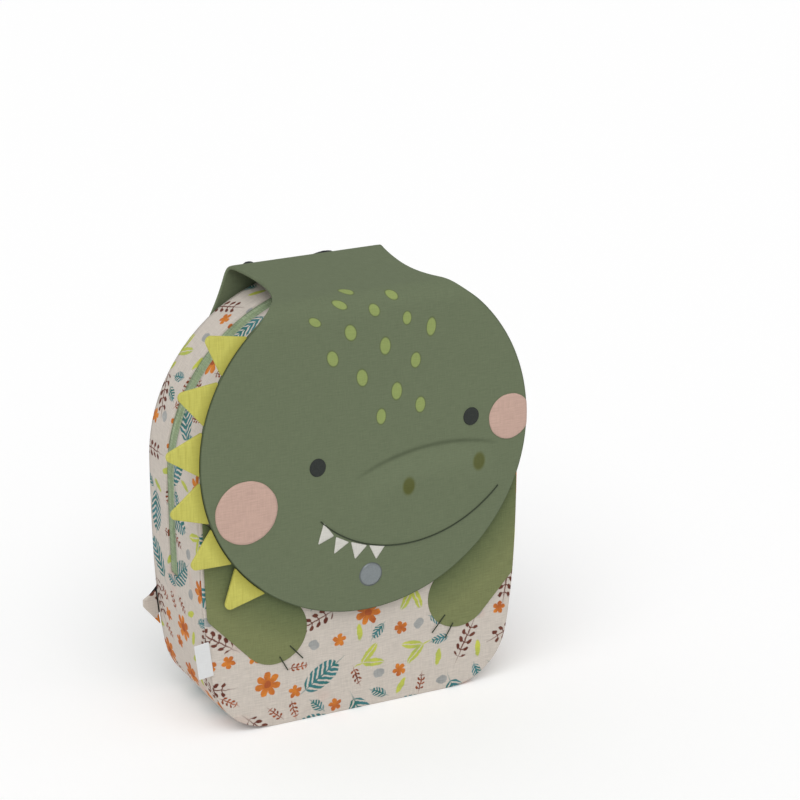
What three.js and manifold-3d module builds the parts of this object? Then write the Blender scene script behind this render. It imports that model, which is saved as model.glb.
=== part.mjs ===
// Child's backpack with an animal's face on its flap, in millimetres.
// +X is the viewer's right, -Y the front with the face, +Z up. The origin is the middle of the flat base.
// The bag is two arched panels joined by a band all round them. A zip opens the band over the top, and a
// padded flap comes up from the back panel, folds over the top and hangs down the front as a round face.
import * as THREE from "three";
import { mergeVertices } from "three/addons/utils/BufferGeometryUtils.js";
import Module from "manifold-3d";

// Bag
const BAG_WIDTH = 236;
const BAG_HEIGHT = 291.4;
const BAG_DEPTH = 88;
const BASE_CORNER_RADIUS = 44;
const CORNER_END_DEG = -10; // where the corner's round passes into the side, from level
const BASE_INSET = 51; // from the bag's widest point in to the end of the flat that it stands on
const CLOTH = 2.5; // outer cloth, foam and lining together
const OUTLINE_STEP = 9; // length of the short straights that draw its outline
const PANEL_EDGE = 1.2; // rounding of a panel's edge at its seam
const FIT = 0.3; // clearance between pieces that are sewn or seated together

// Zip round the band
const ZIP_WIDTH = 13.5;
const ZIP_Y = 4; // middle of the zip, a little behind the middle of the band
const ZIP_END_Z = 101;
const ZIP_THICKNESS = 1.4;
const ZIP_RECESS = 0.4; // how far the tape lies below the band's surface
const SLIDER_LENGTH = 11;
const SLIDER_WIDTH = 8;
const SLIDER_HEIGHT = 3.4;
const PULL_LENGTH = 24;
const PULL_WIDTH = 6;
const PULL_THICKNESS = 1.6;

// Flap
const FACE_RADIUS = 120.3;
const FACE_DROP = 96.1; // from the bag's top down to the face's middle
const FLAP_X = 0.6; // the flap hangs a little off the bag's middle
const FLAP_THICKNESS = 3;
const FLAP_STAND_OFF = 4; // from the front panel to the flap's lining
const FLAP_RISE = 6.1; // from the bag's top up to the flap's outer surface
const CREASE_RISE = 2.5; // how much higher the flap lies at the fold behind the top
const FRONT_BEND_RADIUS = 14;
const FOLD_RADIUS = 7;
const NECK_START_DEG = 50.4; // where the neck leaves the face's circle, from level
const NECK_WIDTH = 103;
const HEM_WIDTH = 156;
const HEM_DROP = 39.4; // from the bag's top down to the tail's hem
const FACE_STEP_DEG = 7.5;

// Spikes along one side of the face
const SPIKE_COUNT = 6;
const SPIKE_FIRST_DEG = 142; // about the face's centre, anticlockwise from +X
const SPIKE_PITCH_DEG = 16.4;
const SPIKE_BASE = 30.5;
const SPIKE_HEIGHT = 23.5;
const SPIKE_TIP_RADIUS = 4;
const SPIKE_THICKNESS = 3;

// Feet sewn on the front panel
const FOOT_RADIUS = 24;
const FOOT_Z = 70;
const FOOT_LEAN_DEG = 43; // of the limb from the vertical
const FOOT_LENGTH = 92;
const FOOT_THICKNESS = 1.5;
const FEET = [
  // out: how far the middle of the toe lies from the bag's middle, as a share of half its width
  { name: "foot_left", side: -1, out: 0.564 },
  { name: "foot_right", side: 1, out: 0.614 },
];

// Snap fastener
const SNAP_RISE = 26.2; // from the face's lowest point up to the snap's middle
const SNAP_X = 1.2; // it is set a little to the right of the face's middle
const CAP_DIAMETER = 16.6;
const CAP_HEIGHT = 2.2;
const RIM_DIAMETER = 18;
const RIM_HEIGHT = 0.8;
const SOCKET_DIAMETER = 12;

// Label in the left front seam
const LABEL_WIDTH = 10.6;
const LABEL_HEIGHT = 25;
const LABEL_THICKNESS = 1;
const LABEL_Z = 58.8;
const LABEL_TILT_DEG = 7;
const LABEL_SEAM = 1.2; // how much of it lies over the panel

// Shoulder straps, with the webbing that holds each at the side of the base
const STRAP_TOP_X = 53;
const STRAP_WIDTH = 40;
const STRAP_THICKNESS = 7;
const STRAP_DROP = 138;
const STRAP_BOW = 30;
const STRAP_SPREAD = 30;
const WEBBING_WIDTH = 15;
const WEBBING_THICKNESS = 1.5;
const WEBBING_TAIL = 46;
const ADJUSTER_WIDTH = 22;
const ADJUSTER_LENGTH = 20;
const ADJUSTER_THICKNESS = 3.4;
const ADJUSTER_BAR = 3.6;
const TAB_Z = 63;
const TAB_BASE = 25.5;
const TAB_TIP = 5;
const TAB_TIP_LIFT = 4.5; // its tip lies above the middle of its base
const TAB_REACH = 11;
const TAB_THICKNESS = 2.4;

// Carrying handle
const HANDLE_SPAN = 64; // between its two sewn ends
const HANDLE_DIAMETER = 9;
const HANDLE_END_WIDTH = 15;
const HANDLE_END_THICKNESS = 3;
const HANDLE_LIFT = 31.5; // from the lower end of the sewn patch to the middle of the loop's highest point
const HANDLE_STAND = 37; // how far its middle stands out from the flap's tail
const HANDLE_SEAM = 3; // from the tail's hem up to the lower ends of the handle

// Cross-sections of the strips: their corners, and how square they are, where 2 is round
const HANDLE_SECTION = { corners: 10, squareness: 2.2, steps: 42 };
const STRAP_SECTION = { corners: 12, squareness: 2.8, steps: 22 };
const WEBBING_SECTION = { corners: 4, squareness: 60 };

const FRONT_Y = -BAG_DEPTH / 2;
const BACK_Y = BAG_DEPTH / 2;
const ARCH_Z = BAG_HEIGHT - BAG_WIDTH / 2; // centre of the round top
const FLAP_TOP_Z = BAG_HEIGHT + FLAP_RISE;
const CREASE_Z = FLAP_TOP_Z + CREASE_RISE;
const FACE_Z = BAG_HEIGHT - FACE_DROP;
const HEM_Z = BAG_HEIGHT - HEM_DROP;
const SNAP_Z = FACE_Z - FACE_RADIUS + SNAP_RISE;

const wasm = await Module();
wasm.setup();

const root = new THREE.Group();

function finish(color, roughness = 0.9, metalness = 0) {
  return new THREE.MeshStandardMaterial({ color, roughness, metalness });
}

const printedLinen = finish(0xcbc3ba);
const greenCanvas = finish(0x6c765d);
const footCanvas = finish(0x79805a);
const yellowCotton = finish(0xc4bd62);
const zipTape = finish(0x8fa383);
const greyMetal = finish(0x82888a, 0.45, 0.8);
const whiteSatin = finish(0xeeeeea, 0.6);
const charcoalWebbing = finish(0x2b2c2e);
const charcoalPlastic = finish(0x303133, 0.45);

function add(name, geometry, material, group = root) {
  const mesh = new THREE.Mesh(geometry, material);
  mesh.name = name;
  group.add(mesh);
  return mesh;
}

// A closed body from vertices and triangles, with its faces turned outwards.
function body(vertices, triangles) {
  let volume = 0;
  for (const [a, b, c] of triangles) {
    volume += vertices[a].dot(vertices[b].clone().cross(vertices[c]));
  }
  const turned = volume < 0 ? triangles.map(([a, b, c]) => [a, c, b]) : triangles;
  return new THREE.BufferGeometry().setFromPoints(vertices).setIndex(turned.flat());
}

// Joins rings of equal length into one body, closed by a fan at each end.
function loft(rings) {
  const count = rings[0].length;
  const vertices = rings.flat();
  const triangles = [];
  for (let r = 0; r + 1 < rings.length; r += 1) {
    for (let i = 0; i < count; i += 1) {
      const a = r * count + i;
      const b = r * count + ((i + 1) % count);
      triangles.push([a, b, b + count], [a, b + count, a + count]);
    }
  }
  for (const [ring, start, forward] of [
    [rings[0], 0, false],
    [rings.at(-1), (rings.length - 1) * count, true],
  ]) {
    const centre = new THREE.Vector3();
    ring.forEach((p) => centre.addScaledVector(p, 1 / count));
    vertices.push(centre);
    for (let i = 0; i < count; i += 1) {
      const a = start + i;
      const b = start + ((i + 1) % count);
      triangles.push(forward ? [a, b, vertices.length - 1] : [b, a, vertices.length - 1]);
    }
  }
  return body(vertices, triangles);
}

// A flat plate between two y values from a shape in x and z.
function plate(shape, frontY, backY) {
  const depth = backY - frontY;
  const made = new THREE.ExtrudeGeometry(shape, { depth, bevelEnabled: false, curveSegments: 24 });
  return made.rotateX(Math.PI / 2).translate(0, backY, 0);
}

function toManifold(geometry) {
  const bare = geometry.index ? geometry.toNonIndexed() : geometry.clone();
  bare.deleteAttribute("normal");
  bare.deleteAttribute("uv");
  const merged = mergeVertices(bare, 1e-4);
  return new wasm.Manifold(
    new wasm.Mesh({
      numProp: 3,
      vertProperties: new Float32Array(merged.attributes.position.array),
      triVerts: new Uint32Array(merged.index.array),
    }),
  );
}

function fromManifold(solid) {
  const mesh = solid.getMesh();
  return new THREE.BufferGeometry()
    .setAttribute("position", new THREE.BufferAttribute(mesh.vertProperties, 3))
    .setIndex(new THREE.BufferAttribute(mesh.triVerts, 1));
}

// The bag's outline seen from the front, drawn inwards of its outer edge: a flat base, round corners,
// sides that swell gently outwards as they rise, and a half-round top.
function bagOutline(inset = 0) {
  const radius = BAG_WIDTH / 2 - inset;
  const corner = BASE_CORNER_RADIUS - inset;
  const flat = BAG_WIDTH / 2 - BASE_INSET;
  const start = THREE.MathUtils.degToRad(CORNER_END_DEG);
  const right = new THREE.Vector2(
    flat + corner * Math.cos(start),
    inset + corner + corner * Math.sin(start),
  );
  const rise = (ARCH_Z - right.y) * 0.28;
  const leave = new THREE.Vector2(right.x - Math.sin(start) * rise, right.y + Math.cos(start) * rise);
  const arrive = ARCH_Z - (ARCH_Z - right.y) * 0.43;
  const shape = new THREE.Shape();
  shape.moveTo(-flat, inset);
  shape.lineTo(flat, inset);
  shape.absarc(flat, inset + corner, corner, -Math.PI / 2, start, false);
  shape.bezierCurveTo(leave.x, leave.y, radius, arrive, radius, ARCH_Z);
  shape.absarc(0, ARCH_Z, radius, 0, Math.PI, false);
  shape.bezierCurveTo(-radius, arrive, -leave.x, leave.y, -right.x, right.y);
  shape.absarc(-flat, inset + corner, corner, Math.PI - start, Math.PI * 1.5, false);
  return shape;
}

// The outline as a ring of points, evenly enough spaced to bend smoothly.
function outlinePoints(inset) {
  const points = [];
  for (const curve of bagOutline(inset).curves) {
    const steps = curve.isLineCurve ? 1 : Math.ceil(curve.getLength() / OUTLINE_STEP);
    points.push(...curve.getPoints(steps).slice(0, -1));
  }
  return points;
}

// Half the bag's width at a height up its side, inwards of its outer edge by the inset.
function halfWidthAt(z, inset = 0) {
  const side = outlinePoints(inset).filter((p) => p.x > 0);
  const above = side.findIndex((p) => p.y >= z);
  const [low, high] = [side[above - 1], side[above]];
  return THREE.MathUtils.mapLinear(z, low.y, high.y, low.x, high.x);
}

// Panels: arched front and back, each with softly rounded seams
function panel(name, outerY, innerY, material) {
  const inward = Math.sign(innerY - outerY);
  const rim = outlinePoints(0);
  const layers = [
    { y: outerY, inset: PANEL_EDGE },
    { y: outerY + (inward * PANEL_EDGE) / 3, inset: PANEL_EDGE / 3 },
    { y: outerY + inward * PANEL_EDGE, inset: 0 },
    { y: innerY, inset: 0 },
  ];
  const rings = layers.map(({ y, inset }) => {
    const across = (BAG_WIDTH - 2 * inset) / BAG_WIDTH;
    const upright = (BAG_HEIGHT - 2 * inset) / BAG_HEIGHT;
    return rim.map((p) => new THREE.Vector3(p.x * across, y, inset + p.y * upright));
  });
  add(name, loft(rings), material);
}
panel("front_panel", FRONT_Y, FRONT_Y + CLOTH, printedLinen);
panel("back_panel", BACK_Y, BACK_Y - CLOTH, greenCanvas);

// A sector of a band that follows the bag's outline, from the zip's one end over the top to its other end.
function archSector(outerInset, thickness, endZ) {
  const outer = outlinePoints(outerInset).filter((p) => p.y > endZ);
  const inner = outlinePoints(outerInset + thickness).filter((p) => p.y > endZ);
  const ends = [halfWidthAt(endZ, outerInset), halfWidthAt(endZ, outerInset + thickness)];
  const shape = new THREE.Shape();
  const ring = [
    new THREE.Vector2(ends[0], endZ),
    ...outer,
    new THREE.Vector2(-ends[0], endZ),
    new THREE.Vector2(-ends[1], endZ),
    ...inner.reverse(),
    new THREE.Vector2(ends[1], endZ),
  ];
  shape.setFromPoints(ring);
  return shape;
}

// Band between the panels, with the slot that the zip fills
const bandFrontY = FRONT_Y + CLOTH + FIT;
const bandBackY = BACK_Y - CLOTH - FIT;
const bandShape = new THREE.Shape(outlinePoints(0));
bandShape.holes.push(new THREE.Path(outlinePoints(CLOTH)));
const slotShape = archSector(-2 * CLOTH, 4 * CLOTH, ZIP_END_Z);
const slot = plate(slotShape, ZIP_Y - ZIP_WIDTH / 2, ZIP_Y + ZIP_WIDTH / 2);
const band = toManifold(plate(bandShape, bandFrontY, bandBackY)).subtract(toManifold(slot));
add("band", fromManifold(band), printedLinen);

// Zip: one strip of tape with its teeth, and the slider at its closed end
const tapeShape = archSector(ZIP_RECESS, ZIP_THICKNESS, ZIP_END_Z + FIT);
add("zip_tape", plate(tapeShape, ZIP_Y - ZIP_WIDTH / 2 + FIT, ZIP_Y + ZIP_WIDTH / 2 - FIT), zipTape);

const slider = new THREE.Group();
root.add(slider);
const sliderBody = new THREE.Shape();
sliderBody.moveTo(-SLIDER_WIDTH / 2, -SLIDER_LENGTH / 2);
sliderBody.lineTo(SLIDER_WIDTH / 2, -SLIDER_LENGTH / 2);
sliderBody.lineTo(SLIDER_WIDTH * 0.38, SLIDER_LENGTH / 2);
sliderBody.lineTo(-SLIDER_WIDTH * 0.38, SLIDER_LENGTH / 2);
const sliderBlock = new THREE.ExtrudeGeometry(sliderBody, { depth: SLIDER_HEIGHT, bevelEnabled: false });
const pullShape = new THREE.Shape();
pullShape.moveTo(-PULL_WIDTH / 2, 0);
pullShape.lineTo(-PULL_WIDTH / 2, -PULL_LENGTH + PULL_WIDTH / 2);
pullShape.absarc(0, -PULL_LENGTH + PULL_WIDTH / 2, PULL_WIDTH / 2, Math.PI, 2 * Math.PI, false);
pullShape.lineTo(PULL_WIDTH / 2, 0);
const pullBlock = new THREE.ExtrudeGeometry(pullShape, {
  depth: PULL_THICKNESS,
  bevelEnabled: false,
  curveSegments: 8,
});
pullBlock.translate(0, SLIDER_LENGTH / 4, SLIDER_HEIGHT - PULL_THICKNESS / 2);
const sliderSolid = toManifold(sliderBlock).add(toManifold(pullBlock));
add("zip_slider", fromManifold(sliderSolid), greyMetal, slider);
const sliderZ = ZIP_END_Z + FIT + SLIDER_LENGTH / 2;
slider.matrixAutoUpdate = false;
const sideSlope = new THREE.Vector3(
  halfWidthAt(sliderZ + SLIDER_LENGTH / 2, 0) - halfWidthAt(sliderZ - SLIDER_LENGTH / 2, 0),
  0,
  SLIDER_LENGTH,
).normalize();
const sideNormal = new THREE.Vector3(sideSlope.z, 0, -sideSlope.x);
const sliderSeat = halfWidthAt(sliderZ, 0) + FIT;
slider.matrix.makeBasis(new THREE.Vector3().crossVectors(sideSlope, sideNormal), sideSlope, sideNormal);
slider.matrix.setPosition(sliderSeat, ZIP_Y, sliderZ);

// Flap: its side view, followed from the bottom of the face up, over the top and down the back
const flapFrontY = FRONT_Y - FLAP_STAND_OFF - FLAP_THICKNESS;
const flapBackY = BACK_Y + FIT + FLAP_THICKNESS;
const bendStart = FLAP_TOP_Z - FRONT_BEND_RADIUS;
const foldCentre = new THREE.Vector2(flapBackY - FOLD_RADIUS, CREASE_Z - FOLD_RADIUS);
const topStart = new THREE.Vector2(flapFrontY + FRONT_BEND_RADIUS, FLAP_TOP_Z);
const topLength = foldCentre.x - topStart.x;
const front = new THREE.LineCurve(
  new THREE.Vector2(flapFrontY, FACE_Z - FACE_RADIUS),
  new THREE.Vector2(flapFrontY, bendStart),
);
const bend = new THREE.EllipseCurve(
  topStart.x,
  bendStart,
  FRONT_BEND_RADIUS,
  FRONT_BEND_RADIUS,
  Math.PI,
  Math.PI / 2,
  true,
);
const top = new THREE.CubicBezierCurve(
  topStart,
  new THREE.Vector2(topStart.x + topLength * 0.4, FLAP_TOP_Z),
  new THREE.Vector2(foldCentre.x - topLength * 0.3, CREASE_Z),
  new THREE.Vector2(foldCentre.x, CREASE_Z),
);
const fold = new THREE.EllipseCurve(
  foldCentre.x,
  foldCentre.y,
  FOLD_RADIUS,
  FOLD_RADIUS,
  Math.PI / 2,
  0,
  true,
);
const tail = new THREE.LineCurve(
  new THREE.Vector2(flapBackY, foldCentre.y),
  new THREE.Vector2(flapBackY, HEM_Z),
);

// The flap laid flat: half its width at each length along the side view, where the face is a circle and the
// neck narrows from it, then spreads to the hem.
const frontLength = front.getLength();
const bendLength = bend.getLength();
const flatTop = frontLength + bendLength + top.getLength() / 2;
const flatHem = frontLength + bendLength + top.getLength() + fold.getLength() + tail.getLength();
const shoulder = THREE.MathUtils.degToRad(NECK_START_DEG);
const shoulderPoint = new THREE.Vector2(
  FACE_RADIUS * Math.cos(shoulder),
  FACE_RADIUS * (1 + Math.sin(shoulder)),
);
const shoulderRun = FACE_RADIUS * 0.15;
const neckEdge = new THREE.CubicBezierCurve(
  shoulderPoint,
  new THREE.Vector2(
    shoulderPoint.x - shoulderRun * Math.sin(shoulder),
    shoulderPoint.y + shoulderRun * Math.cos(shoulder),
  ),
  new THREE.Vector2(NECK_WIDTH / 2, flatTop - (flatTop - shoulderPoint.y) * 0.45),
  new THREE.Vector2(NECK_WIDTH / 2, flatTop),
);
const tailEdge = new THREE.CubicBezierCurve(
  new THREE.Vector2(NECK_WIDTH / 2, flatTop),
  new THREE.Vector2(NECK_WIDTH / 2, flatTop + (flatHem - flatTop) * 0.35),
  new THREE.Vector2(NECK_WIDTH / 2 + (HEM_WIDTH - NECK_WIDTH) * 0.16, flatTop + (flatHem - flatTop) * 0.7),
  new THREE.Vector2(HEM_WIDTH / 2, flatHem),
);

// A point of the side view, and the direction that faces out of the flap there, at a length along it.
function sideView(length) {
  let left = length;
  for (const curve of [front, bend, top, fold, tail]) {
    const whole = curve.getLength();
    if (left <= whole || curve === tail) {
      const share = Math.min(1, Math.max(0, left / whole));
      const tangent = curve.getTangentAt(share);
      return { point: curve.getPointAt(share), out: new THREE.Vector2(-tangent.y, tangent.x) };
    }
    left -= whole;
  }
  throw new Error("the side view has no length");
}

const flapGroup = new THREE.Group();
flapGroup.position.x = FLAP_X;
root.add(flapGroup);

const flapEdge = [];
const firstStep = 0.5; // the lowest row lies half a step up the circle, where the flap has some width
for (let deg = FACE_STEP_DEG * firstStep; ; deg += FACE_STEP_DEG) {
  const turn = THREE.MathUtils.degToRad(deg);
  if (turn > Math.PI / 2 + shoulder - THREE.MathUtils.degToRad(FACE_STEP_DEG / 2)) break;
  flapEdge.push(new THREE.Vector2(FACE_RADIUS * Math.sin(turn), FACE_RADIUS * (1 - Math.cos(turn))));
}
flapEdge.push(...neckEdge.getPoints(9), ...tailEdge.getPoints(14).slice(1));

const flapVertices = [];
for (const { x: half, y: length } of flapEdge) {
  const { point, out } = sideView(length);
  for (const depth of [0, FLAP_THICKNESS]) {
    for (const side of [-1, 1]) {
      flapVertices.push(new THREE.Vector3(side * half, point.x - out.x * depth, point.y - out.y * depth));
    }
  }
}
const flapTriangles = [];
const [OUT_LEFT, OUT_RIGHT, IN_LEFT, IN_RIGHT] = [0, 1, 2, 3];
const around = [OUT_LEFT, OUT_RIGHT, IN_RIGHT, IN_LEFT];
for (let row = 0; row + 1 < flapEdge.length; row += 1) {
  around.forEach((corner, i) => {
    const a = row * 4 + corner;
    const b = row * 4 + around[(i + 1) % 4];
    flapTriangles.push([a, b, b + 4], [a, b + 4, a + 4]);
  });
}
const lastRow = (flapEdge.length - 1) * 4;
flapTriangles.push([OUT_RIGHT, OUT_LEFT, IN_LEFT], [OUT_RIGHT, IN_LEFT, IN_RIGHT]);
flapTriangles.push(
  [lastRow + OUT_LEFT, lastRow + OUT_RIGHT, lastRow + IN_RIGHT],
  [lastRow + OUT_LEFT, lastRow + IN_RIGHT, lastRow + IN_LEFT],
);
add("flap", body(flapVertices, flapTriangles), greenCanvas, flapGroup);

// Spikes: padded triangles with round tips, set round the face's edge
const spikeMiddleY = flapFrontY + FLAP_THICKNESS / 2;
const baseHalfAngle = Math.asin(SPIKE_BASE / 2 / (FACE_RADIUS + FIT));
for (let i = 0; i < SPIKE_COUNT; i += 1) {
  const spike = new THREE.Group();
  const turn = SPIKE_FIRST_DEG + i * SPIKE_PITCH_DEG;
  spike.position.set(0, spikeMiddleY, FACE_Z);
  spike.rotation.y = -THREE.MathUtils.degToRad(turn);
  flapGroup.add(spike);
  const seat = FACE_RADIUS + FIT;
  const tipCentre = FACE_RADIUS + SPIKE_HEIGHT - SPIKE_TIP_RADIUS;
  const outline = [];
  for (let k = 0; k <= 6; k += 1) {
    const angle = baseHalfAngle * (1 - k / 3);
    outline.push(new THREE.Vector2(seat * Math.cos(angle), seat * Math.sin(angle)));
  }
  const reach = tipCentre - seat * Math.cos(baseHalfAngle);
  const slant = Math.hypot(SPIKE_BASE / 2, reach);
  const flank = Math.atan2(SPIKE_BASE / 2, reach) + Math.asin(SPIKE_TIP_RADIUS / slant);
  for (let k = 0; k <= 6; k += 1) {
    const angle = (flank - Math.PI / 2) * (1 - k / 3);
    const round = new THREE.Vector2(Math.cos(angle), Math.sin(angle)).multiplyScalar(SPIKE_TIP_RADIUS);
    outline.push(new THREE.Vector2(tipCentre + round.x, round.y));
  }
  const middle = new THREE.Vector2(seat + SPIKE_HEIGHT * 0.3, 0);
  const shrink = (share) =>
    outline.map((p, k) => {
      const seated = k <= 6; // the base stays on its seat while the flanks draw in
      const x = seated ? p.x : middle.x + (p.x - middle.x) * share;
      return new THREE.Vector2(x, p.y * share);
    });
  const layers = [
    { y: SPIKE_THICKNESS / 2, share: 0.86 },
    { y: SPIKE_THICKNESS * 0.3, share: 0.97 },
    { y: 0, share: 1 },
    { y: -SPIKE_THICKNESS * 0.3, share: 0.97 },
    { y: -SPIKE_THICKNESS / 2, share: 0.86 },
  ];
  const rings = layers.map(({ y, share }) => {
    return shrink(share).map((p) => new THREE.Vector3(p.x, y, p.y));
  });
  add(`spike_${i + 1}`, loft(rings), yellowCotton, spike);
}

// Feet: a round-ended limb that comes in from each side seam, cut off along the panel's edge
for (const { name, side, out } of FEET) {
  const lean = THREE.MathUtils.degToRad(FOOT_LEAN_DEG) * side;
  const up = new THREE.Vector2(Math.sin(lean), Math.cos(lean));
  const across = new THREE.Vector2(up.y, -up.x);
  const toe = new THREE.Vector2((side * out * BAG_WIDTH) / 2, FOOT_Z);
  const limb = new THREE.Shape();
  const points = [];
  for (const [centre, from] of [
    [toe, Math.PI],
    [toe.clone().addScaledVector(up, FOOT_LENGTH), 0],
  ]) {
    for (let k = 0; k <= 14; k += 1) {
      const angle = from + (Math.PI * k) / 14;
      points.push(
        centre
          .clone()
          .addScaledVector(across, FOOT_RADIUS * Math.cos(angle))
          .addScaledVector(up, FOOT_RADIUS * Math.sin(angle)),
      );
    }
  }
  limb.setFromPoints(points);
  const outerY = FRONT_Y - FIT - FOOT_THICKNESS;
  const cut = plate(new THREE.Shape(outlinePoints(PANEL_EDGE + FIT)), outerY - FIT, FRONT_Y);
  const foot = toManifold(plate(limb, outerY, FRONT_Y - FIT)).intersect(toManifold(cut));
  add(name, fromManifold(foot), footCanvas);
}

// Snap fastener: the cap on its rim in front of the flap, and the socket between the flap and the bag
function turned(profile) {
  return new THREE.LatheGeometry(profile, 24).rotateX(Math.PI);
}
const cap = turned([
  new THREE.Vector2(0, 0),
  new THREE.Vector2(RIM_DIAMETER / 2, 0),
  new THREE.Vector2(RIM_DIAMETER / 2, RIM_HEIGHT),
  new THREE.Vector2(CAP_DIAMETER / 2, RIM_HEIGHT),
  new THREE.Vector2(CAP_DIAMETER * 0.46, CAP_HEIGHT * 0.8),
  new THREE.Vector2(CAP_DIAMETER * 0.34, CAP_HEIGHT),
  new THREE.Vector2(0, CAP_HEIGHT),
]);
add("snap_cap", cap, greyMetal, flapGroup).position.set(SNAP_X, flapFrontY - FIT, SNAP_Z);
const socketHeight = FLAP_STAND_OFF - 2 * FIT;
const socket = turned([
  new THREE.Vector2(0, 0),
  new THREE.Vector2(SOCKET_DIAMETER / 2, 0),
  new THREE.Vector2(SOCKET_DIAMETER / 2, socketHeight * 0.4),
  new THREE.Vector2(SOCKET_DIAMETER * 0.35, socketHeight * 0.5),
  new THREE.Vector2(SOCKET_DIAMETER * 0.35, socketHeight),
  new THREE.Vector2(0, socketHeight),
]);
add("snap_socket", socket, greyMetal, flapGroup).position.set(SNAP_X, FRONT_Y - FIT, SNAP_Z);

// Label: a small folded tab that stands out of the left front seam, its sewn edge on the front panel
const label = new THREE.BoxGeometry(LABEL_WIDTH, LABEL_THICKNESS, LABEL_HEIGHT);
const labelMesh = add("side_label", label, whiteSatin);
labelMesh.rotation.y = -THREE.MathUtils.degToRad(LABEL_TILT_DEG);
labelMesh.position.set(
  -halfWidthAt(LABEL_Z) - LABEL_WIDTH / 2 + LABEL_SEAM,
  FRONT_Y - FIT - LABEL_THICKNESS / 2,
  LABEL_Z,
);

// A strip, pad or round loop along a course of stations. Each station has its middle, its width and its
// thickness; the width lies along the given direction as nearly as the course lets it.
function strip(stations, widthways, { corners, squareness }) {
  const rings = stations.map(({ at, width, thick }, i) => {
    const before = stations[Math.max(0, i - 1)].at;
    const after = stations[Math.min(stations.length - 1, i + 1)].at;
    const along = after.clone().sub(before).normalize();
    const wide = widthways(i, stations.length).clone().projectOnPlane(along).normalize();
    const deep = new THREE.Vector3().crossVectors(along, wide);
    const ring = [];
    for (let k = 0; k < corners; k += 1) {
      const angle = (2 * Math.PI * (k + 0.5)) / corners;
      const [c, s] = [Math.cos(angle), Math.sin(angle)];
      const reach = (Math.abs(c) ** squareness + Math.abs(s) ** squareness) ** (-1 / squareness);
      ring.push(
        at
          .clone()
          .addScaledVector(wide, (reach * c * width) / 2)
          .addScaledVector(deep, (reach * s * thick) / 2),
      );
    }
    return ring;
  });
  return loft(rings);
}

// Stations at even steps of a smooth course through the rows of a table.
function course(rows, steps) {
  const middle = new THREE.CatmullRomCurve3(rows.map((r) => r.at), false, "centripetal");
  const section = rows.map((r) => ({ width: r.width, thick: r.thick }));
  return Array.from({ length: steps + 1 }, (_, i) => {
    const share = i / steps;
    const place = share * (rows.length - 1);
    const row = Math.min(rows.length - 2, Math.floor(place));
    const blend = place - row;
    return {
      at: middle.getPoint(share),
      width: THREE.MathUtils.lerp(section[row].width, section[row + 1].width, blend),
      thick: THREE.MathUtils.lerp(section[row].thick, section[row + 1].thick, blend),
    };
  });
}

// Carrying handle: flat ends sewn on the flap's tail, rolled into a round loop between them
const HANDLE_COURSE = [
  // side, lift and stand: shares of half the span and of their sizes; round: from flat to round
  { side: 1, lift: 0, stand: 0, round: 0 },
  { side: 1, lift: 0.22, stand: 0, round: 0.05 },
  { side: 1.01, lift: 0.52, stand: 0.06, round: 0.6 },
  { side: 1.01, lift: 0.85, stand: 0.27, round: 1 },
  { side: 0.95, lift: 1, stand: 0.55, round: 1 },
  { side: 0.72, lift: 0.86, stand: 0.8, round: 1 },
  { side: 0.36, lift: 0.62, stand: 0.96, round: 1 },
];
function handleRow({ side, lift, stand, round }, hand) {
  const thick = THREE.MathUtils.lerp(HANDLE_END_THICKNESS, HANDLE_DIAMETER, round);
  return {
    at: new THREE.Vector3(
      (hand * side * HANDLE_SPAN) / 2,
      flapBackY + FIT + HANDLE_END_THICKNESS / 2 + stand * HANDLE_STAND,
      HEM_Z + HANDLE_SEAM + lift * HANDLE_LIFT,
    ),
    width: THREE.MathUtils.lerp(HANDLE_END_WIDTH, HANDLE_DIAMETER, round),
    thick,
  };
}
const handleMiddle = handleRow({ side: 0, lift: 0.52, stand: 1, round: 1 }, 1);
const handleRows = [
  ...HANDLE_COURSE.map((row) => handleRow(row, -1)),
  handleMiddle,
  ...HANDLE_COURSE.map((row) => handleRow(row, 1)).reverse(),
];
const handleTurn = (i, count) => {
  const share = (2 * i) / (count - 1) - 1;
  const angle = THREE.MathUtils.clamp(share * 1.6, -1, 1) * (Math.PI / 2);
  return new THREE.Vector3(-Math.abs(Math.sin(angle)) * Math.sign(share || 1), 0, Math.cos(angle));
};
const handleStations = course(handleRows, HANDLE_SECTION.steps);
add("carry_handle", strip(handleStations, handleTurn, HANDLE_SECTION), charcoalWebbing);

// Shoulder straps: a pad from under the flap's hem, its adjuster, and webbing down to a tab at the side
const STRAP_COURSE = [
  // down, bow and spread: shares of the strap's drop, of how far it stands out and of how far it leans out
  { down: 0, bow: 0, spread: 0, width: 0.86, thick: 0.5 },
  { down: 0.06, bow: 0, spread: 0, width: 0.88, thick: 0.5 },
  { down: 0.2, bow: 0.3, spread: 0.1, width: 1, thick: 1 },
  { down: 0.38, bow: 0.72, spread: 0.28, width: 1, thick: 1 },
  { down: 0.58, bow: 1, spread: 0.5, width: 1, thick: 1 },
  { down: 0.8, bow: 0.98, spread: 0.74, width: 0.86, thick: 0.95 },
  { down: 0.94, bow: 0.86, spread: 0.92, width: 0.6, thick: 0.7 },
  { down: 1, bow: 0.79, spread: 1, width: 0.46, thick: 0.55 },
];
const strapBackY = BACK_Y + 2 * FIT;
const strapTopZ = HEM_Z - 2 * FIT;

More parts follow.
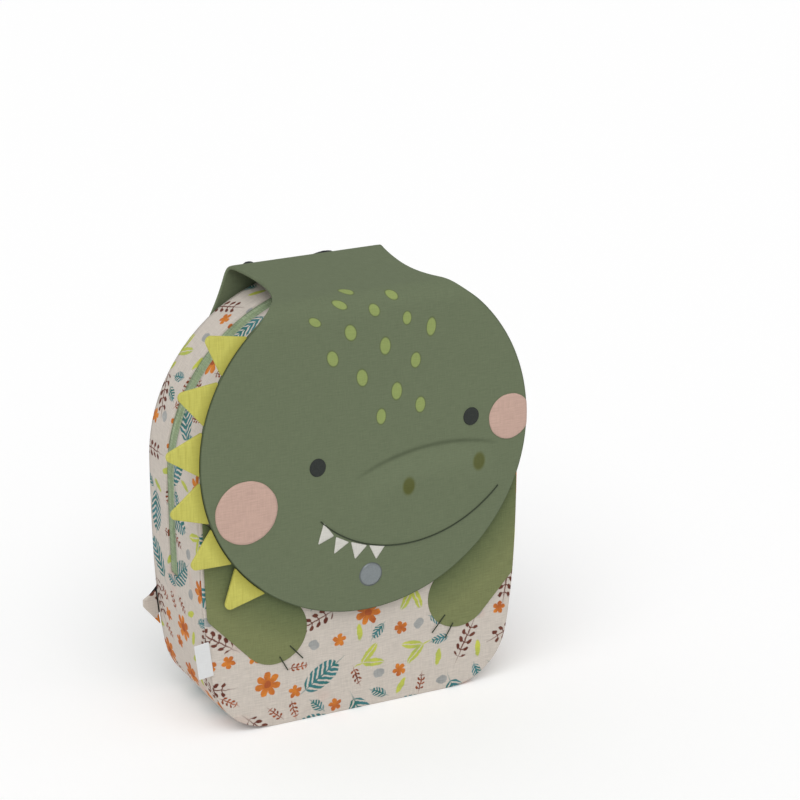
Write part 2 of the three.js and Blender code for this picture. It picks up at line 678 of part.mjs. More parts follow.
function strapSet(hand, word) {
  const mirror = new THREE.Vector3(hand, 1, 1);
  const pad = STRAP_COURSE.map(({ down, bow, spread, width, thick }) => ({
    at: new THREE.Vector3(
      STRAP_TOP_X + spread * STRAP_SPREAD,
      strapBackY + (thick * STRAP_THICKNESS) / 2 + bow * STRAP_BOW,
      strapTopZ - down * STRAP_DROP,
    ).multiply(mirror),
    width: width * STRAP_WIDTH,
    thick: thick * STRAP_THICKNESS,
  }));
  const padStations = course(pad, STRAP_SECTION.steps);
  const level = () => new THREE.Vector3(1, 0, 0);
  add(`shoulder_strap_${word}`, strip(padStations, level, STRAP_SECTION), greenCanvas);

  // The tab is a flat triangle of folded cloth that stands out of the back seam.
  const tabShares = [0, 0.25, 0.5, 0.75, 1];
  const tabSeat = tabShares.map((share) => {
    const z = TAB_Z + (share - 0.5) * TAB_BASE;
    return new THREE.Vector2(hand * (halfWidthAt(z) + 1.5 * FIT), z);
  });
  const tipX = hand * (halfWidthAt(TAB_Z) + TAB_REACH);
  const tipZ = TAB_Z + TAB_TIP_LIFT;
  const tipEdge = [tipZ + TAB_TIP / 2, tipZ - TAB_TIP / 2].map((z) => new THREE.Vector2(tipX, z));
  const tabShape = new THREE.Shape([...tabSeat, ...tipEdge]);
  add(`strap_tab_${word}`, plate(tabShape, BACK_Y - TAB_THICKNESS, BACK_Y), printedLinen);

  // The adjuster hangs from the pad's end, in line with it.
  const end = padStations.at(-1).at.clone().multiply(mirror);
  const before = padStations.at(-2).at.clone().multiply(mirror);
  const along = end.clone().sub(before).normalize();
  const wide = new THREE.Vector3(1, 0, 0).projectOnPlane(along).normalize();
  const outward = new THREE.Vector3().crossVectors(along, wide).negate();
  if (outward.y < 0) outward.negate();
  const bar = ADJUSTER_BAR;
  const frame = new THREE.Shape();
  const [halfWidth, halfLength] = [ADJUSTER_WIDTH / 2, ADJUSTER_LENGTH / 2];
  frame.moveTo(-halfWidth, -halfLength);
  frame.lineTo(halfWidth, -halfLength);
  frame.lineTo(halfWidth, halfLength);
  frame.lineTo(-halfWidth, halfLength);
  const slotHalf = WEBBING_WIDTH / 2 + FIT * 2;
  const slotLength = (ADJUSTER_LENGTH - 3 * bar) / 2;
  for (const slotStart of [-halfLength + bar, halfLength - bar - slotLength]) {
    const hole = new THREE.Path();
    hole.moveTo(-slotHalf, slotStart);
    hole.lineTo(slotHalf, slotStart);
    hole.lineTo(slotHalf, slotStart + slotLength);
    hole.lineTo(-slotHalf, slotStart + slotLength);
    frame.holes.push(hole);
  }
  const adjusterDepth = { depth: ADJUSTER_THICKNESS, bevelEnabled: false };
  const adjusterShape = new THREE.ExtrudeGeometry(frame, adjusterDepth);
  adjusterShape.translate(0, 0, -ADJUSTER_THICKNESS / 2);
  const adjusterAt = end.clone().addScaledVector(along, halfLength + FIT);
  const holder = new THREE.Group();
  holder.matrixAutoUpdate = false;
  const basis = [wide, along, outward].map((axis) => axis.clone().multiply(mirror));
  holder.matrix.makeBasis(...basis).setPosition(adjusterAt.clone().multiply(mirror));
  root.add(holder);
  add(`adjuster_${word}`, adjusterShape, charcoalPlastic, holder);

  // The webbing is sewn on the tab's back. It rises to the adjuster, turns through its slot and hangs.
  const turnRadius = bar * 0.95;
  const local = (down, out) =>
    adjusterAt.clone().addScaledVector(along, down).addScaledVector(outward, out);
  const turnAt = halfLength - bar / 2;
  const rising = local(turnAt + ADJUSTER_LENGTH * 0.4, -turnRadius);
  const webStart = new THREE.Vector3(
    halfWidthAt(TAB_Z) + TAB_REACH / 3,
    BACK_Y + 2 * FIT + WEBBING_THICKNESS / 2,
    TAB_Z,
  );
  const climb = rising.clone().sub(webStart);
  const flatClimb = climb.clone().setY(0);
  const rise = new THREE.CubicBezierCurve3(
    webStart,
    webStart.clone().addScaledVector(flatClimb, 0.45),
    rising.clone().addScaledVector(along, climb.length() * 0.3),
    rising,
  );
  const riseSteps = 8;
  const points = rise.getPoints(riseSteps);
  for (let k = 0; k <= 6; k += 1) {
    const angle = (Math.PI * k) / 6;
    points.push(local(turnAt - turnRadius * Math.sin(angle), -turnRadius * Math.cos(angle)));
  }
  const leaving = local(turnAt + ADJUSTER_LENGTH * 0.35, turnRadius);
  points.push(leaving);
  for (const share of [0.35, 0.7, 1]) {
    const hang = new THREE.Vector3(0, 0, -WEBBING_TAIL * share);
    const drift = along.clone().multiplyScalar(ADJUSTER_LENGTH * 0.35 * share * (1 - share / 2));
    points.push(leaving.clone().add(hang).add(drift));
  }
  const ribbon = points.map((at) => ({
    at: at.multiply(mirror),
    width: WEBBING_WIDTH,
    thick: WEBBING_THICKNESS,
  }));
  const flatWide = new THREE.Vector3(flatClimb.z, 0, -flatClimb.x).normalize(); // as it lies on the tab
  const webWide = (i) => flatWide.clone().lerp(wide, Math.min(1, i / riseSteps)).multiply(mirror);
  add(`webbing_${word}`, strip(ribbon, webWide, WEBBING_SECTION), charcoalWebbing);
}
strapSet(-1, "left");
strapSet(1, "right");

export default root;
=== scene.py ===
import math

import bmesh
import bpy
from mathutils import Matrix, Vector
from mathutils.bvhtree import BVHTree


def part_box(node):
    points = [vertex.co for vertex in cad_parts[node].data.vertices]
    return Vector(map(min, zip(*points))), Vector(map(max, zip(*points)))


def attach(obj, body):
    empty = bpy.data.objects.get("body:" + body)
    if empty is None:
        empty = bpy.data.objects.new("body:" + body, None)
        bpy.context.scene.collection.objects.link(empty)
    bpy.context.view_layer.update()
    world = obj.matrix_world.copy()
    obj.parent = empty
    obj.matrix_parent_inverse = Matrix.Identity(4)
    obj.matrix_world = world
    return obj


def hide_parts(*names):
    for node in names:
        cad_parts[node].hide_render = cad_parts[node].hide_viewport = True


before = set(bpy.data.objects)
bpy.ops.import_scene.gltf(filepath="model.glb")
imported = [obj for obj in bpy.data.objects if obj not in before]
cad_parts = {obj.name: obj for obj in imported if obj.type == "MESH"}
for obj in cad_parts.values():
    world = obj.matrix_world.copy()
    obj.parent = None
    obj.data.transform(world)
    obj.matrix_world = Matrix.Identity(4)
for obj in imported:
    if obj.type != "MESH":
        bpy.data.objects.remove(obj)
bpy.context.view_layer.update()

# The camera stands to the left of the bag and above it, about two metres off, with a long lens. Its place
# and lens bring the bag's outline and its sewn parts where the photograph has them.
mm = 0.001
camera_azimuth = math.radians(-26.83)
camera_elevation = math.radians(19.53)

camera_data = bpy.data.cameras.new("camera")
camera_data.sensor_width = 36
camera_data.lens = 131.49
camera = bpy.data.objects.new("camera", camera_data)
camera.location = (-0.7974, -1.6757, 0.8669)
camera.rotation_euler = (math.pi / 2 - camera_elevation, 0, camera_azimuth)
bpy.context.collection.objects.link(camera)
bpy.context.scene.camera = camera

# The floor is a wide sweep of white paper. White light comes from all round, and more of it from above the
# bag's front and left, from a lamp so wide that the shadow stays soft and close.
bpy.context.scene.view_settings.view_transform = "Standard"
floor_size = 60
sky_strength = 0.56
lamp_strength = 1.5
lamp_spread = math.radians(55)
lamp_aim = (math.radians(33), 0, math.radians(-31))
floor_glow = 0.05

world = bpy.data.worlds.new("studio")
world.use_nodes = True
world.node_tree.nodes["Background"].inputs["Color"].default_value = (1, 1, 1, 1)
world.node_tree.nodes["Background"].inputs["Strength"].default_value = sky_strength
bpy.context.scene.world = world

floor_mesh = bpy.data.meshes.new("floor")
paper = bmesh.new()
bmesh.ops.create_grid(paper, x_segments=1, y_segments=1, size=floor_size / 2)
paper.to_mesh(floor_mesh)
floor = bpy.data.objects.new("floor", floor_mesh)
bpy.context.collection.objects.link(floor)
floor_finish = bpy.data.materials.new("white_paper")
floor_finish.use_nodes = True
paper_shader = floor_finish.node_tree.nodes["Principled BSDF"]
paper_shader.inputs["Base Color"].default_value = (0.99, 0.99, 0.99, 1)
paper_shader.inputs["Roughness"].default_value = 0.9
paper_shader.inputs["Specular IOR Level"].default_value = 0.1
paper_shader.inputs["Emission Color"].default_value = (1, 1, 1, 1)
paper_shader.inputs["Emission Strength"].default_value = floor_glow
floor_mesh.materials.append(floor_finish)

lamp_data = bpy.data.lights.new("lamp", "SUN")
lamp_data.energy = lamp_strength
lamp_data.angle = lamp_spread
lamp = bpy.data.objects.new("lamp", lamp_data)
lamp.rotation_euler = lamp_aim
bpy.context.collection.objects.link(lamp)

# Front panel: the arched front of the bag, linen with thin foam and a lining behind it.
# It is cut flat, and its edge is turned in where the band is sewn on, so it is a little crowned.
panel_crown = 1.6 * mm
panel_rings = 34
seam_round = 0.9 * mm
linen_colour = (205, 196, 186)


def linear(colour):
    """A colour seen on a screen, in parts of 255, as the light it stands for."""
    parts = [part / 255 for part in colour]
    return (*[p / 12.92 if p < 0.04045 else ((p + 0.055) / 1.055) ** 2.4 for p in parts], 1)


def finish_of(name, colour, roughness, sheen=0.0):
    """A new material whose shader has these values on its own sockets."""
    material = bpy.data.materials.new(name)
    material.use_nodes = True
    shader = material.node_tree.nodes["Principled BSDF"]
    shader.inputs["Base Color"].default_value = linear(colour)
    shader.inputs["Roughness"].default_value = roughness
    shader.inputs["Specular IOR Level"].default_value = 0.2
    shader.inputs["Sheen Weight"].default_value = sheen
    shader.inputs["Sheen Roughness"].default_value = 0.5
    return material


def node(material, kind, sockets={}, **settings):
    """A shader node with its settings. A socket takes a value, or the output that is joined to it."""
    made = material.node_tree.nodes.new("ShaderNode" + kind)
    for name, value in settings.items():
        setattr(made, name, value)
    for name, value in sockets.items():
        if isinstance(value, bpy.types.NodeSocket):
            material.node_tree.links.new(value, made.inputs[name])
        else:
            made.inputs[name].default_value = value
    return made


def calc(material, operation, *values):
    """One step of arithmetic on numbers and outputs."""
    return node(material, "Math", dict(enumerate(values)), operation=operation).outputs[0]


def mixed(material, share, under, over, blend="MIX"):
    """Two colours mixed, by a share from 0 to 1."""
    made = node(material, "Mix", data_type="RGBA", blend_type=blend)
    for socket, value in ((0, share), (6, under), (7, over)):
        if isinstance(value, bpy.types.NodeSocket):
            material.node_tree.links.new(value, made.inputs[socket])
        else:
            made.inputs[socket].default_value = value
    return made.outputs[2]


def paint(material, colour):
    """Joins a colour to the material's shader."""
    shader = material.node_tree.nodes["Principled BSDF"]
    material.node_tree.links.new(colour, shader.inputs["Base Color"])


def raise_by(material, height, depth):
    """Bump by a height from 0 to 1, where 1 stands depth metres proud."""
    bump = node(material, "Bump", {"Height": height, "Distance": depth, "Strength": 1.0})
    shader = material.node_tree.nodes["Principled BSDF"]
    material.node_tree.links.new(bump.outputs[0], shader.inputs["Normal"])


class Number:
    """A number that a material works out at each point of a surface, written as ordinary arithmetic."""

    def __init__(self, material, socket):
        self.material = material
        self.socket = socket

    def step(self, operation, *others):
        given = [getattr(other, "socket", other) for other in others]
        return Number(self.material, calc(self.material, operation, self.socket, *given))

    def __add__(self, other):
        return self.step("ADD", other)

    def __sub__(self, other):
        return self.step("SUBTRACT", other)

    def __rsub__(self, other):
        return Number(self.material, calc(self.material, "SUBTRACT", other, self.socket))

    def __mul__(self, other):
        return self.step("MULTIPLY", other)

    def __truediv__(self, other):
        return self.step("DIVIDE", other)

    def __abs__(self):
        return self.step("ABSOLUTE")

    def least(self, other):
        return self.step("MINIMUM", other)

    def most(self, other):
        return self.step("MAXIMUM", other)

    def length(self, other):
        return (self * self + other * other).step("SQRT")

    def between(self, low, high):
        return (self - low).least(high - self)

    def inked(self, soft=0.5):
        """1 where the number is above 0 and 0 where it is below, over an edge this wide."""
        return (self / soft + 0.5).least(1.0).most(0.0)


def plane_of(material, place):
    """The two coordinates of a place on the cloth, in millimetres."""
    parts = node(material, "SeparateXYZ", {0: place}).outputs
    return Number(material, parts[0]) * 1000, Number(material, parts[1]) * 1000


def threads(material, place, pitch, slub):
    """Plain weave: how high its threads stand, and how light each is, both from 0 to 1."""
    waver = node(material, "TexNoise", {"Vector": place, "Scale": 0.12 / pitch, "Detail": 3.0})
    reach = {0: waver.outputs["Color"], 1: (slub * pitch,) * 3}
    push = node(material, "VectorMath", reach, operation="MULTIPLY").outputs[0]
    bent = node(material, "VectorMath", {0: place, 1: push}, operation="ADD").outputs[0]
    wave = math.pi / 10 / pitch
    across = node(material, "TexWave", {"Vector": bent, "Scale": wave}, bands_direction="X").outputs["Fac"]
    along = node(material, "TexWave", {"Vector": bent, "Scale": wave}, bands_direction="Y").outputs["Fac"]
    height = calc(material, "MULTIPLY", across, along)
    long = node(material, "Mapping", {"Vector": place, "Scale": (1, 14, 1)})
    tall = node(material, "Mapping", {"Vector": place, "Scale": (14, 1, 1)})
    weft = node(material, "TexNoise", {"Vector": long.outputs[0], "Scale": 0.055 / pitch, "Detail": 4.0})
    warp = node(material, "TexNoise", {"Vector": tall.outputs[0], "Scale": 0.055 / pitch, "Detail": 4.0})
    light = calc(material, "ADD", calc(material, "MULTIPLY", weft.outputs["Fac"], 0.6),
                 calc(material, "MULTIPLY", warp.outputs["Fac"], 0.4))
    return height, light


def woven(material, colour, pitch, contrast, depth, place=None, slub=1.4):
    """Gives a material the colour and relief of a plain weave, with painted shade where its threads dip and
    painted light where they cross over. The colour may be one value or an output.
    """
    if place is None:
        place = node(material, "TexCoord").outputs["UV"]
    height, light = threads(material, place, pitch, slub)
    slubs = {"Value": light, 1: 0.35, 2: 0.65, 3: 1 - contrast, 4: 1 + contrast}
    slubs = node(material, "MapRange", slubs).outputs[0]
    # Painted shade in the weave's low places and painted light on its raised crossings, from thread height.
    crossing_painted_light_and_shade = {"Value": height, 3: 1 - contrast / 2, 4: 1 + contrast / 3}
    crossing_painted_light_and_shade = node(material, "MapRange", crossing_painted_light_and_shade).outputs[0]
    slub_tone_and_painted_shade = calc(material, "MULTIPLY", slubs, crossing_painted_light_and_shade)
    grey = node(material, "CombineColor", {0: slub_tone_and_painted_shade, 1: slub_tone_and_painted_shade, 2: slub_tone_and_painted_shade}).outputs[0]
    colouring = colour if isinstance(colour, bpy.types.NodeSocket) else linear(colour)
    paint(material, mixed(material, 1.0, colouring, grey, "MULTIPLY"))
    crossed = calc(material, "MULTIPLY", height, 0.6)
    slubbed = calc(material, "MULTIPLY", light, 0.8)
    raise_by(material, calc(material, "ADD", crossed, slubbed), depth)


def copy_of(name):
    """A CAD node's shape, with the corners of its loose triangles merged."""
    made = bmesh.new()
    made.from_mesh(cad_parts[name].data)
    bmesh.ops.remove_doubles(made, verts=made.verts, dist=0.002 * mm)
    return made


cut_share = 0.47


def outline_of(name):
    """The loop in which an upright plane near a node's middle cuts it, anticlockwise from the front."""
    low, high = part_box(name)
    body = copy_of(name)
    everything = body.verts[:] + body.edges[:] + body.faces[:]
    cut_y = low[1] + (high[1] - low[1]) * cut_share
    bmesh.ops.bisect_plane(body, geom=everything, plane_co=(0, cut_y, 0), plane_no=(0, 1, 0),
                           clear_inner=True, clear_outer=True)
    body.verts.ensure_lookup_table()
    first = body.verts[0]
    edge = first.link_edges[0]
    corner = edge.other_vert(first)
    loop = [first.co.copy()]
    while corner is not first:
        loop.append(corner.co.copy())
        edge = next(e for e in corner.link_edges if e is not edge)
        corner = edge.other_vert(corner)
    turned = sum(a.x * b.z - b.x * a.z for a, b in zip(loop, loop[1:] + loop[:1]))
    return loop if turned > 0 else loop[::-1]


def evenly(loop, count):
    """Points at equal steps round a closed loop, from its first point on."""
    ends = loop[1:] + loop[:1]
    sides = [(end - start).length for start, end in zip(loop, ends)]
    step = sum(sides) / count
    points = []
    passed = 0
    for start, end, side in zip(loop, ends, sides):
        while len(points) < count and len(points) * step <= passed + side:
            points.append(start.lerp(end, (len(points) * step - passed) / side if side else 0))
        passed += side
    return points


def sheet_in(outline, rings):
    """A grid stretched ring by ring to fill an outline in the X-Z plane, with its UV map in metres."""
    count = 720
    rim = evenly(outline, count)
    middle = Vector((
        (min(p.x for p in rim) + max(p.x for p in rim)) / 2, rim[0].y,
        (min(p.z for p in rim) + max(p.z for p in rim)) / 2,
    ))
    away = [(p - middle).normalized() for p in rim]
    headings = (Vector((1, 0, 0)), Vector((0, 0, 1)), Vector((-1, 0, 0)), Vector((0, 0, -1)))
    starts = [max(range(count), key=lambda i: away[i].dot(heading)) for heading in headings]
    made = bmesh.new()
    bmesh.ops.create_grid(made, x_segments=2 * rings, y_segments=2 * rings, size=1)
    for vert in made.verts:
        u, v, _ = vert.co
        ring = max(abs(u), abs(v))
        if ring < 1e-6:
            vert.co = middle
            continue
        if abs(u) >= abs(v):
            turn = v / u / 2 if u > 0 else 2 + v / u / 2
        else:
            turn = 1 - u / v / 2 if v > 0 else 3 - u / v / 2
        quarter = math.floor(turn)
        start = starts[quarter % 4]
        run = (starts[(quarter + 1) % 4] - start) % count
        place = start + (turn - quarter) * run
        before = math.floor(place)
        edge = rim[before % count].lerp(rim[(before + 1) % count], place - before)
        vert.co = middle.lerp(edge, ring)
    flat = made.loops.layers.uv.new("cloth")
    for face in made.faces:
        for loop in face.loops:
            loop[flat].uv = (loop.vert.co.x, loop.vert.co.z)
    return made


def thickened(made, back, round_by):
    """A flat sheet made a closed pad with round edges, from where it lies back to another plane of Y."""
    grown = bmesh.ops.extrude_face_region(made, geom=made.faces[:], use_keep_orig=True)["geom"]
    for part in grown:
        if isinstance(part, bmesh.types.BMVert):
            part.co.y = back
    bmesh.ops.recalc_face_normals(made, faces=made.faces)
    made.normal_update()
    rim = [edge for edge in made.edges if edge.calc_face_angle(0) > 1]
    bmesh.ops.bevel(made, geom=rim, offset=round_by, segments=2, profile=0.5, affect="EDGES", material=-1)
    return made


def cut_from(name, rings, round_by, inset=0.0):
    """A pad cut to a node's outline and as thick as the node. An inset moves in the edge of one that spans
    the bag's middle."""
    low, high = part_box(name)
    middle_z = (low[2] + high[2]) / 2
    share = 1 - inset / high[0]
    made = sheet_in(outline_of(name), rings)
    for vert in made.verts:
        vert.co = (vert.co.x * share, low[1], middle_z + (vert.co.z - middle_z) * share)
    return thickened(made, high[1], round_by)


def piece_of(name, made, material, slot, *nodes):
    """Makes a mesh a piece of the bag, in place of the CAD nodes that it stands for."""
    mesh = bpy.data.meshes.new(name)
    made.to_mesh(mesh)
    made.free()
    mesh.materials.append(material)
    mesh.shade_smooth()
    piece = bpy.data.objects.new(name, mesh)
    bpy.context.collection.objects.link(piece)
    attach(piece, "root")
    if nodes:
        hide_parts(*nodes)
    return piece


def plump(piece, most, pressure=4.0, stiff=15.0, last_step=20):
    """Blows a padded piece up as its filling does, with its sewn rim held. No point moves more than most."""
    mesh = piece.data
    rim = set()
    for face in mesh.polygons:
        if abs(face.normal.y) < 0.5:
            rim.update(face.vertices)
    held = piece.vertex_groups.new(name="sewn")
    held.add(sorted(rim), 1.0, "ADD")
    flat = [vert.co.copy() for vert in mesh.vertices]
    cloth = piece.modifiers.new("filling", "CLOTH")
    cloth.settings.vertex_group_mass = "sewn"
    cloth.settings.quality = 4
    cloth.settings.use_pressure = True
    cloth.settings.uniform_pressure_force = pressure
    cloth.settings.effector_weights.gravity = 0
    cloth.settings.tension_stiffness = stiff
    cloth.settings.compression_stiffness = stiff
    cloth.collision_settings.use_collision = False
    scene = bpy.context.scene
    for step in range(1, last_step + 1):
        scene.frame_set(step)
    blown = piece.evaluated_get(bpy.context.evaluated_depsgraph_get()).to_mesh()
    for vert, start, end in zip(mesh.vertices, flat, blown.vertices):
        move = end.co - start
        if move.length > 1e-9:
            move *= most * (1 - math.exp(-move.length / most)) / move.length
        vert.co = start + move
    piece.modifiers.remove(cloth)
    piece.vertex_groups.remove(held)
    scene.frame_set(1)


def smoothed(piece, levels=1):
    """Adds a subdivision, as fine in the view as in the render."""
    rounder = piece.modifiers.new("smooth", "SUBSURF")
    rounder.levels = levels
    rounder.render_levels = levels


def padded_piece(name, made, material, slot, node_name, most):
    """A piece whose filling has swelled it."""
    piece = piece_of(name, made, material, slot, node_name)
    plump(piece, most)
    smoothed(piece)


linen = finish_of("printed_linen", linen_colour, roughness=0.85)
linen_place = node(linen, "TexCoord").outputs["UV"]


def shifted(place, by):
    """A place on the cloth moved by a fixed amount."""
    return node(linen, "VectorMath", {0: place, 1: (by, by * 1.7, 0)}, operation="ADD").outputs[0]


def motif_cells(place, cell, randomness, shift):
    """Motifs scattered one to a cell: where a point lies from its motif in millimetres, a random share for
    the motif, and the motif's own place on the cloth."""
    moved = shifted(place, shift)
    scatter = {"Vector": moved, "Scale": 1 / cell, "Randomness": randomness}
    cells = node(linen, "TexVoronoi", scatter, voronoi_dimensions="2D")
    chance = node(linen, "SeparateColor", {0: cells.outputs["Color"]}).outputs
    middle = cells.outputs["Position"]
    off = node(linen, "VectorMath", {0: moved, 1: middle}, operation="SUBTRACT").outputs[0]
    turn = calc(linen, "MULTIPLY", chance[0], 2 * math.pi)
    turned = node(linen, "VectorRotate", {"Vector": off, "Angle": turn}, rotation_type="Z_AXIS").outputs[0]
    a, b = plane_of(linen, turned)
    return a, b, Number(linen, chance[1]), shifted(middle, -shift)


def drop(a, b, long, wide):
    """How far inside an oval a point lies, in millimetres."""
    return (1.0 - (a / long).length(b / wide)) * min(long, wide)


def lean(a, b, degrees):
    """A point's coordinates in a frame turned by an angle."""
    c, s = math.cos(math.radians(degrees)), math.sin(math.radians(degrees))
    return a * c + b * s, b * c - a * s


def fern(a, b, long, wide, pitch):
    """A frond: slanting leaflets on both sides of a stem, shorter towards its ends."""
    side = abs(b)
    leaflets = abs(((a - side * 0.9) / pitch).step("FRACT") - 0.5) * pitch
    blades = (pitch * 0.31 - leaflets).least(drop(a, b, long, wide))
    return blades.most(drop(a, b, long * 1.15, 0.6))


def blossom(a, b, size, petals):
    """A round flower with its petals parted."""
    turn = a.step("ARCTAN2", b)
    parted = abs((turn * (petals / 2)).step("COSINE")).step("POWER", 0.5)
    return (parted * 0.62 + 0.38) * size - a.length(b)


def berry_twig(a, b, long, pitch, berry):
    """A stem with a berry on each side at every step."""
    side = abs(b)
    near = (((a - side * 0.5) / pitch).step("FRACT") - 0.5) * pitch
    berries = (berry - near.length(side - berry * 2.1)).least(drop(a, b, long, berry * 5))
    stalks = (0.45 - abs(near)).least(berry * 2 - side).least(drop(a, b, long, berry * 5))
    return berries.most(stalks).most(drop(a, b, long * 1.1, 0.5))


def leaf_pair(a, b, long, wide):
    """Two long leaves that spread from one point, each with a pale midrib."""
    a2, b2 = lean(a + long * 0.9, abs(b), 27)
    blade = drop(a2 - long, b2, long, wide)
    return blade.least(abs(b2) - 0.35).most(drop(a + long * 1.2, b, 3.5, 0.5))


teal = linear((70, 127, 134))
deep_teal = linear((42, 104, 96))
orange = linear((216, 132, 52))
rust = linear((170, 88, 48))
brown = linear((112, 66, 54))
maroon = linear((96, 46, 36))
lime = linear((196, 200, 84))
pale_lime = linear((166, 178, 92))
stone = linear((172, 172, 170))
rose = linear((206, 160, 146))


def in_share(pick, low, high):
    """1 for the motifs whose random share lies between two limits."""
    return pick.step("GREATER_THAN", low).least(pick.step("LESS_THAN", high))


wash = node(linen, "TexNoise", {"Vector": linen_place, "Scale": 90.0, "Detail": 3.0}).outputs["Fac"]
wash = ((Number(linen, wash) - 0.35) * 3).least(1.0).most(0.0).socket
ink = linear(linen_colour)
blush = node(linen, "TexNoise", {"Vector": linen_place, "Scale": 26.0, "Detail": 2.0}).outputs["Fac"]
ink = mixed(linen, ((Number(linen, blush) - 0.62) * 3).least(0.35).most(0.0).socket, ink, rose)

shake = node(linen, "TexNoise", {"Vector": linen_place, "Scale": 260.0, "Detail": 2.0}).outputs["Color"]
shake = node(linen, "VectorMath", {0: shake, 1: (2.2 * mm,) * 3}, operation="MULTIPLY").outputs[0]
shaken = node(linen, "VectorMath", {0: linen_place, 1: shake}, operation="ADD").outputs[0]
large_cells = {"cell": 37 * mm, "randomness": 0.24, "shift": 0.113}
large_reach = 4.6
a, b, pick, _ = motif_cells(shaken, **large_cells)
large = {
    # shape, half its length and width, its share from and to, light and dark ink
    "fern": (fern(a, b, 14.5, 8.2, 4.4), (14.5, 8.2), 0.0, 0.33, teal, deep_teal),
    "blossom": (blossom(a, b, 9.5, 7), (9.5, 9.5), 0.33, 0.56, orange, rust),
    "twig": (berry_twig(a, b, 13.5, 5.6, 1.7), (13.5, 6), 0.56, 0.8, brown, maroon),
    "leaves": (leaf_pair(a, b, 8.4, 2.9), (11, 8), 0.8, 1.01, lime, pale_lime),
}
for shape, _, low, high, light_ink, dark_ink in large.values():
    colouring = mixed(linen, wash, light_ink, dark_ink)
    ink = mixed(linen, shape.inked().least(in_share(pick, low, high)).socket, ink, colouring)
heart = (2.6 - a.length(b)).inked().least(in_share(pick, 0.33, 0.56))
ink = mixed(linen, heart.socket, ink, rust)

c, d, pick, small_place = motif_cells(shaken, 15.6 * mm, 0.3, 0.271)
a, b, large_pick, _ = motif_cells(small_place, **large_cells)
covered = None
for _, (long, wide), low, high, _, _ in large.values():
    near = drop(a, b, long + large_reach, wide + large_reach).step("GREATER_THAN", 0.0)
    near = near.least(in_share(large_pick, low, high))
    covered = near if covered is None else covered.most(near)
clear = 1.0 - covered
small = {
    # shape, its share from and to, light and dark ink
    "bud": (blossom(c, d, 5.0, 5), 0.0, 0.26, orange, rust),
    "pebble": (drop(c, d, 4.2, 3.4), 0.26, 0.38, stone, linear((150, 152, 150))),
    "sprig": (fern(c, d, 6.0, 3.6, 2.6), 0.38, 0.58, teal, deep_teal),
    "dots": (berry_twig(c, d, 6.0, 3.4, 0.95), 0.58, 0.8, maroon, rust),
    "leaf": (drop(c, d, 6.2, 2.1), 0.8, 1.01, lime, pale_lime),
}
for shape, low, high, light_ink, dark_ink in small.values():
    colouring = mixed(linen, wash, light_ink, dark_ink)
    ink = mixed(linen, shape.inked().least(in_share(pick, low, high)).least(clear).socket, ink, colouring)
woven(linen, ink, pitch=0.5 * mm, contrast=0.12, depth=0.12 * mm, place=linen_place)

front_pad = cut_from("front_panel", panel_rings, seam_round)
padded_piece("front_panel_linen", front_pad, linen, "printed_linen", "front_panel", panel_crown)

# Back panel: the same shape as the front in plain green canvas, with more foam where it lies on the
# child's back. Its edge is turned in, so the band's linen shows round it.
canvas_colour = (107, 117, 91)
back_crown = 2.2 * mm
back_inset = 1.1 * mm
back_round = 1.3 * mm

canvas = finish_of("green_canvas", canvas_colour, roughness=0.88)
woven(canvas, canvas_colour, pitch=0.45 * mm, contrast=0.09, depth=0.1 * mm)

back_pad = cut_from("back_panel", panel_rings, back_round, back_inset)
padded_piece("back_panel_canvas", back_pad, canvas, "green_canvas", "back_panel", back_crown)

# Band: one strip of the printed linen, sewn to both panels all round, with the slot for the zip.
# It is shown as one closed wall that stops at the slot's edges.
band_wall = 2.5 * mm
band_swell = 0.5 * mm
slot_gap = 0.35 * mm
band_rows = 360
front_columns, slot_columns, rear_columns = 10, 3, 8

band_low, band_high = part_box("band")
tape_low, tape_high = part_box("zip_tape")
course = evenly(outline_of("front_panel"), band_rows)
lowest = min(range(band_rows), key=lambda i: abs(course[i].x) + course[i].z)
course = course[lowest:] + course[:lowest]
course_step = (course[1] - course[0]).length


def on_course(length, out=0.0):
    """The point of the bag's outline at a length from the base's middle, and the way out of the bag."""
    place = length / course_step
    before = math.floor(place)
    start, end = course[before % band_rows], course[(before + 1) % band_rows]
    ahead = course[(before + 2) % band_rows] - course[(before - 1) % band_rows]
    facing = Vector((ahead.z, 0, -ahead.x)).normalized()
    return start.lerp(end, place - before) + facing * out, facing


def columns_between(start, end, count):
    """The places of evenly spaced columns from one to another, without the first."""
    return [start + (end - start) * i / count for i in range(1, count + 1)]


slot_edges = (tape_low[1] - slot_gap, tape_high[1] + slot_gap)
slot_rows = [i for i in range(band_rows) if course[i].z > tape_low[2] - slot_gap]
widths = [band_low[1]] + columns_between(band_low[1], slot_edges[0], front_columns)
widths += columns_between(slot_edges[0], slot_edges[1], slot_columns)
widths += columns_between(slot_edges[1], band_high[1], rear_columns)
band_sheet = bmesh.new()
bmesh.ops.create_grid(band_sheet, x_segments=band_rows, y_segments=len(widths) - 1, size=1)
band_cloth = band_sheet.loops.layers.uv.new("cloth")
for vert in band_sheet.verts:
    row = round((vert.co.x + 1) / 2 * band_rows)
    column = round((vert.co.y + 1) / 2 * (len(widths) - 1))
    vert.co = (row, column, 0)
inside_slot = []
for face in band_sheet.faces:
    centre = face.calc_center_median()
    in_slot = front_columns < centre.y < front_columns + slot_columns
    if in_slot and slot_rows[0] < centre.x < slot_rows[-1]:
        inside_slot.append(face)
    for loop in face.loops:
        loop[band_cloth].uv = (loop.vert.co.x * course_step, widths[round(loop.vert.co.y)])
bmesh.ops.delete(band_sheet, geom=inside_slot, context="FACES")
